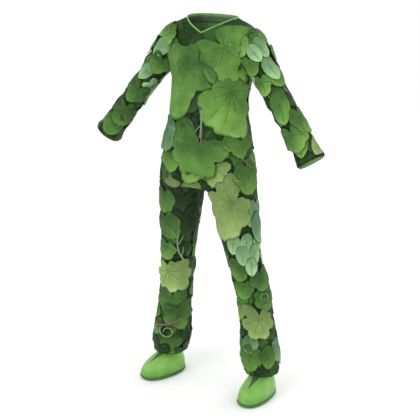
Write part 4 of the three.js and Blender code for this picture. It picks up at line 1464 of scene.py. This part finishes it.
def cloth_material(kind):
    """Printed leaf blotches on woven cloth, with stitching along a free edge."""
    dark, mid, light = (rgb(c) for c in CLOTH_COLOURS[kind])
    g = Graph(f"cloth_{kind}", 0.85)
    place = g.attribute("rest_place")
    run, arc, _ = g.split(g.attribute("edge_run"))
    shade = g.attribute("shade", "Fac")
    drift = g.vector("MULTIPLY", g.noise(place, 14, 2, "Color"), (0.03, 0.03, 0.03))
    bent = g.vector("ADD", place, drift)
    edge = g.cells(bent, 17, "DISTANCE_TO_EDGE")
    tone = g.split(g.cells(bent, 17, "F1", "Color"))[0]
    value = g.times_plus(g.noise(place, 34, 4), 0.4, g.times(tone, 0.7))
    colour = g.ramp(value, (0.15, dark), (0.5, mid), (0.85, light))
    colour = g.mix(g.times(g.band(edge, 0.10, 0.0), 0.6), colour, dark)
    thread = g.weave(place, 0.0013)
    colour = g.mix(g.times(thread, 0.25), colour, dark)
    stitch_line = g.band(g.math("ABSOLUTE", g.minus(run, 0.018)), 0.0011, 0.0006)
    dashes = g.band(g.math("FRACT", g.times(arc, 260)), 0.3, 0.36)
    stitches = g.times(stitch_line, dashes)
    colour = g.mix(g.times(stitches, 0.8), colour, rgb("7FA35A"))
    worn = g.times(g.band(run, 0.0035, 0.0), 0.5)
    colour = g.mix(worn, colour, rgb("5F8A42"))
    depth = g.band(shade, 0.1, 0.9)
    colour = g.mix(g.times(depth, 0.85), colour, DEEP_SHADE)
    normal = g.bump(thread, 0.0003)
    slub = g.noise(g.vector("MULTIPLY", place, (1, 1, 0.12)), 700, 2)
    normal = g.bump(slub, 0.0002, normal)
    normal = g.bump(g.minus(stitches, g.times(stitch_line, 0.5)), 0.0006, normal)
    return g.done(colour, normal)


def binding_material(name, dark, light, pitch, roughness, depth):
    """Narrow woven trim: piping, facing and elastic."""
    g = Graph(name, roughness, sheen=0.12)
    place = g.attribute("rest_place")
    thread = g.weave(place, pitch)
    value = g.times_plus(g.noise(place, 45, 4), 0.8, g.times(thread, 0.25))
    colour = g.ramp(value, (0.2, rgb(dark)), (0.8, rgb(light)))
    return g.done(colour, g.bump(g.times_plus(g.noise(place, 900, 2), 0.4, thread), depth))


def twig_material(name, dark, light):
    g = Graph(name, 0.75, sheen=0.05)
    place = g.attribute("rest_place")
    bark = g.noise(place, 260, 5)
    colour = g.ramp(bark, (0.3, rgb(dark)), (0.7, rgb(light)))
    return g.done(colour, g.bump(g.noise(place, 700, 4), 0.0006))


def shoe_material():
    """Smooth coated cloth with painted shade that darkens it towards the sole, and a stitched line beside the
    gore.
    """
    g = Graph("shoe_coated_cloth", 0.42, sheen=0.1, coat=0.25)
    place = g.attribute("rest_place")
    beside, _, up = g.split(g.attribute("shoe_place"))
    # Painted shade: the upper darkens towards the sole.
    low = g.band(up, 58, 14)
    soft = g.noise(place, 24, 3)
    fine = g.noise(place, 240, 4)
    value = g.times_plus(soft, 0.4, g.times(fine, 0.12))
    value = g.times_plus(low, -0.22, g.math("ADD", value, 0.3))
    colour = g.ramp(value, (0.1, rgb("3F6E2A")), (0.5, rgb("72A84A")), (0.85, rgb("96C868")))
    line = g.band(g.math("ABSOLUTE", g.minus(beside, 3.2)), 0.7, 0.3)
    dash = g.band(g.math("FRACT", g.times(g.split(place)[1], 330)), 0.3, 0.4)
    stitch = g.times(line, dash)
    colour = g.mix(g.times(stitch, 0.7), colour, rgb("B9E48E"))
    normal = g.bump(g.noise(place, 620, 3), 0.00015)
    normal = g.bump(g.noise(place, 38, 2), 0.0012, normal)
    normal = g.bump(g.minus(stitch, line), 0.0005, normal)
    return g.done(colour, normal, g.times_plus(fine, 0.2, 0.32))


def sole_material():
    g = Graph("sole_rubber", 0.55)
    place = g.attribute("rest_place")
    value = g.times_plus(g.noise(place, 60, 4), 0.5, g.times(g.noise(place, 9, 2), 0.5))
    colour = g.ramp(value, (0.25, rgb("33602A")), (0.75, rgb("4E8238")))
    return g.done(colour, g.bump(g.noise(place, 900, 3), 0.0003))


LEAF_LOOKS = {look: leaf_material(look) for look in LEAF_COLOURS}
MATERIALS = {kind: cloth_material(kind) for kind in CLOTH_COLOURS}
MATERIALS.update({
    "piping": binding_material("piping_bias", "5C923A", "8CC062", 0.0009, 0.5, 0.0002),
    "facing": binding_material("facing_plain_weave", "6B9466", "98BE90", 0.0012, 0.85, 0.0003),
    "lining": binding_material("cloth_reverse", "6A9060", "93B986", 0.0013, 0.9, 0.0003),
    "elastic": binding_material("elastic_rib", "1F2E1D", "3B5034", 0.0018, 0.8, 0.0006),
    "gore": binding_material("gore_rib_knit", "35543B", "55795A", 0.0016, 0.75, 0.0005),
    "twig": twig_material("twig_bark", "4A3B33", "8F7468"),
    "tendril": twig_material("tendril_skin", "567350", "8CA67C"),
    "shoe": shoe_material(),
    "sole": sole_material(),
})

# ---- Putting it together ----------------------------------------------------------------------------
STANDS_FOR = {"smock_body": ("smock_front", "smock_back"), "hem_band": ("smock_hem_band",),
              "trouser_seat": ("seat_front", "seat_back", "crotch_gusset", "trouser_waistband")}
for hand in SIDES:
    STANDS_FOR.update({
        f"{hand}_sleeve_top": (f"{hand}_sleeve_head", f"{hand}_upper_sleeve"),
        f"{hand}_sleeve_lower": (f"{hand}_elbow_section", f"{hand}_lower_sleeve"),
        f"{hand}_sleeve_cuff": (f"{hand}_cuff",),
        f"{hand}_trouser_thigh": (f"{hand}_hip_section", f"{hand}_thigh"),
        f"{hand}_trouser_shin": (f"{hand}_knee_section", f"{hand}_shin"),
        f"{hand}_trouser_ankle": (f"{hand}_ankle_gather",),
    })

make_base()
build_leaves()
for obj in skins:
    obj.data.materials.append(MATERIALS[obj["cloth"]])
    obj.data.materials.append(MATERIALS["lining"])
    thicken(obj, CLOTH, inner_material=1)
    slot = "trouser_cloth" if "trouser" in obj.name else "smock_cloth"
    fasten(obj, obj["zone"], slot, *STANDS_FOR[obj.name])
make_piping()
make_facing()
make_elastics()
make_twigs()
for hand in SIDES:
    make_shoe(hand)

# ---- Floor, light and camera ------------------------------------------------------------------------
FLOOR_SIZE = 30
FLOOR_PALE = (0.95, 0.95, 0.95, 1)
STUDIO_LIGHT = 1.05
LAMP_AIM = (0, 0, -0.6)
# Name, place, size and power of each lamp.
LAMPS = [
    ("key", (-0.6, -2.8, 1.6), 1.8, 34),
    ("fill", (2.6, -1.8, 0.4), 2.0, 10),
    ("back", (0.8, 2.6, 1.5), 1.8, 18),
]
VIEW_AZIMUTH, VIEW_ELEVATION = math.radians(29.7), math.radians(18.4)
VIEW_DISTANCE, VIEW_LENS = 4.15, 94.3
VIEW_SIDEWAYS = -0.0125


def make_floor():
    corners = [(-1, -1), (1, -1), (1, 1), (-1, 1)]
    floor = add_object("floor", [(x * FLOOR_SIZE, y * FLOOR_SIZE, height(0)) for x, y in corners],
                       [[0, 1, 2, 3]], smooth=False)
    material = bpy.data.materials.new("pale_floor")
    material.use_nodes = True
    shader = material.node_tree.nodes["Principled BSDF"]
    shader.inputs["Base Color"].default_value = FLOOR_PALE
    shader.inputs["Roughness"].default_value = 0.9
    floor.data.materials.append(material)


def make_lights():
    world = bpy.data.worlds.new("studio")
    scene.world = world
    world.use_nodes = True
    background = world.node_tree.nodes["Background"].inputs
    background[0].default_value = (1, 1, 1, 1)
    background[1].default_value = STUDIO_LIGHT
    for name, place, size, power in LAMPS:
        lamp = bpy.data.lights.new(name, "AREA")
        lamp.size, lamp.energy = size, power
        obj = bpy.data.objects.new(name, lamp)
        obj.location = place
        obj.rotation_euler = (Vector(LAMP_AIM) - Vector(place)).to_track_quat("-Z", "Y").to_euler()
        scene.collection.objects.link(obj)


def make_camera():
    a, e = VIEW_AZIMUTH, VIEW_ELEVATION
    back = Vector((math.sin(a) * math.cos(e), -math.cos(a) * math.cos(e), math.sin(e)))
    right = Vector((math.cos(a), math.sin(a), 0))
    target = Vector((0, 0, (cad_low.z + cad_high.z) / 2)) + right * VIEW_SIDEWAYS
    lens = bpy.data.cameras.new("camera")
    lens.lens = VIEW_LENS
    camera = bpy.data.objects.new("camera", lens)
    camera.location = target + back * VIEW_DISTANCE
    camera.rotation_euler = (-back).to_track_quat("-Z", "Y").to_euler()
    scene.collection.objects.link(camera)
    scene.camera = camera


make_floor()
make_lights()
make_camera()
scene.view_settings.view_transform = "Standard"
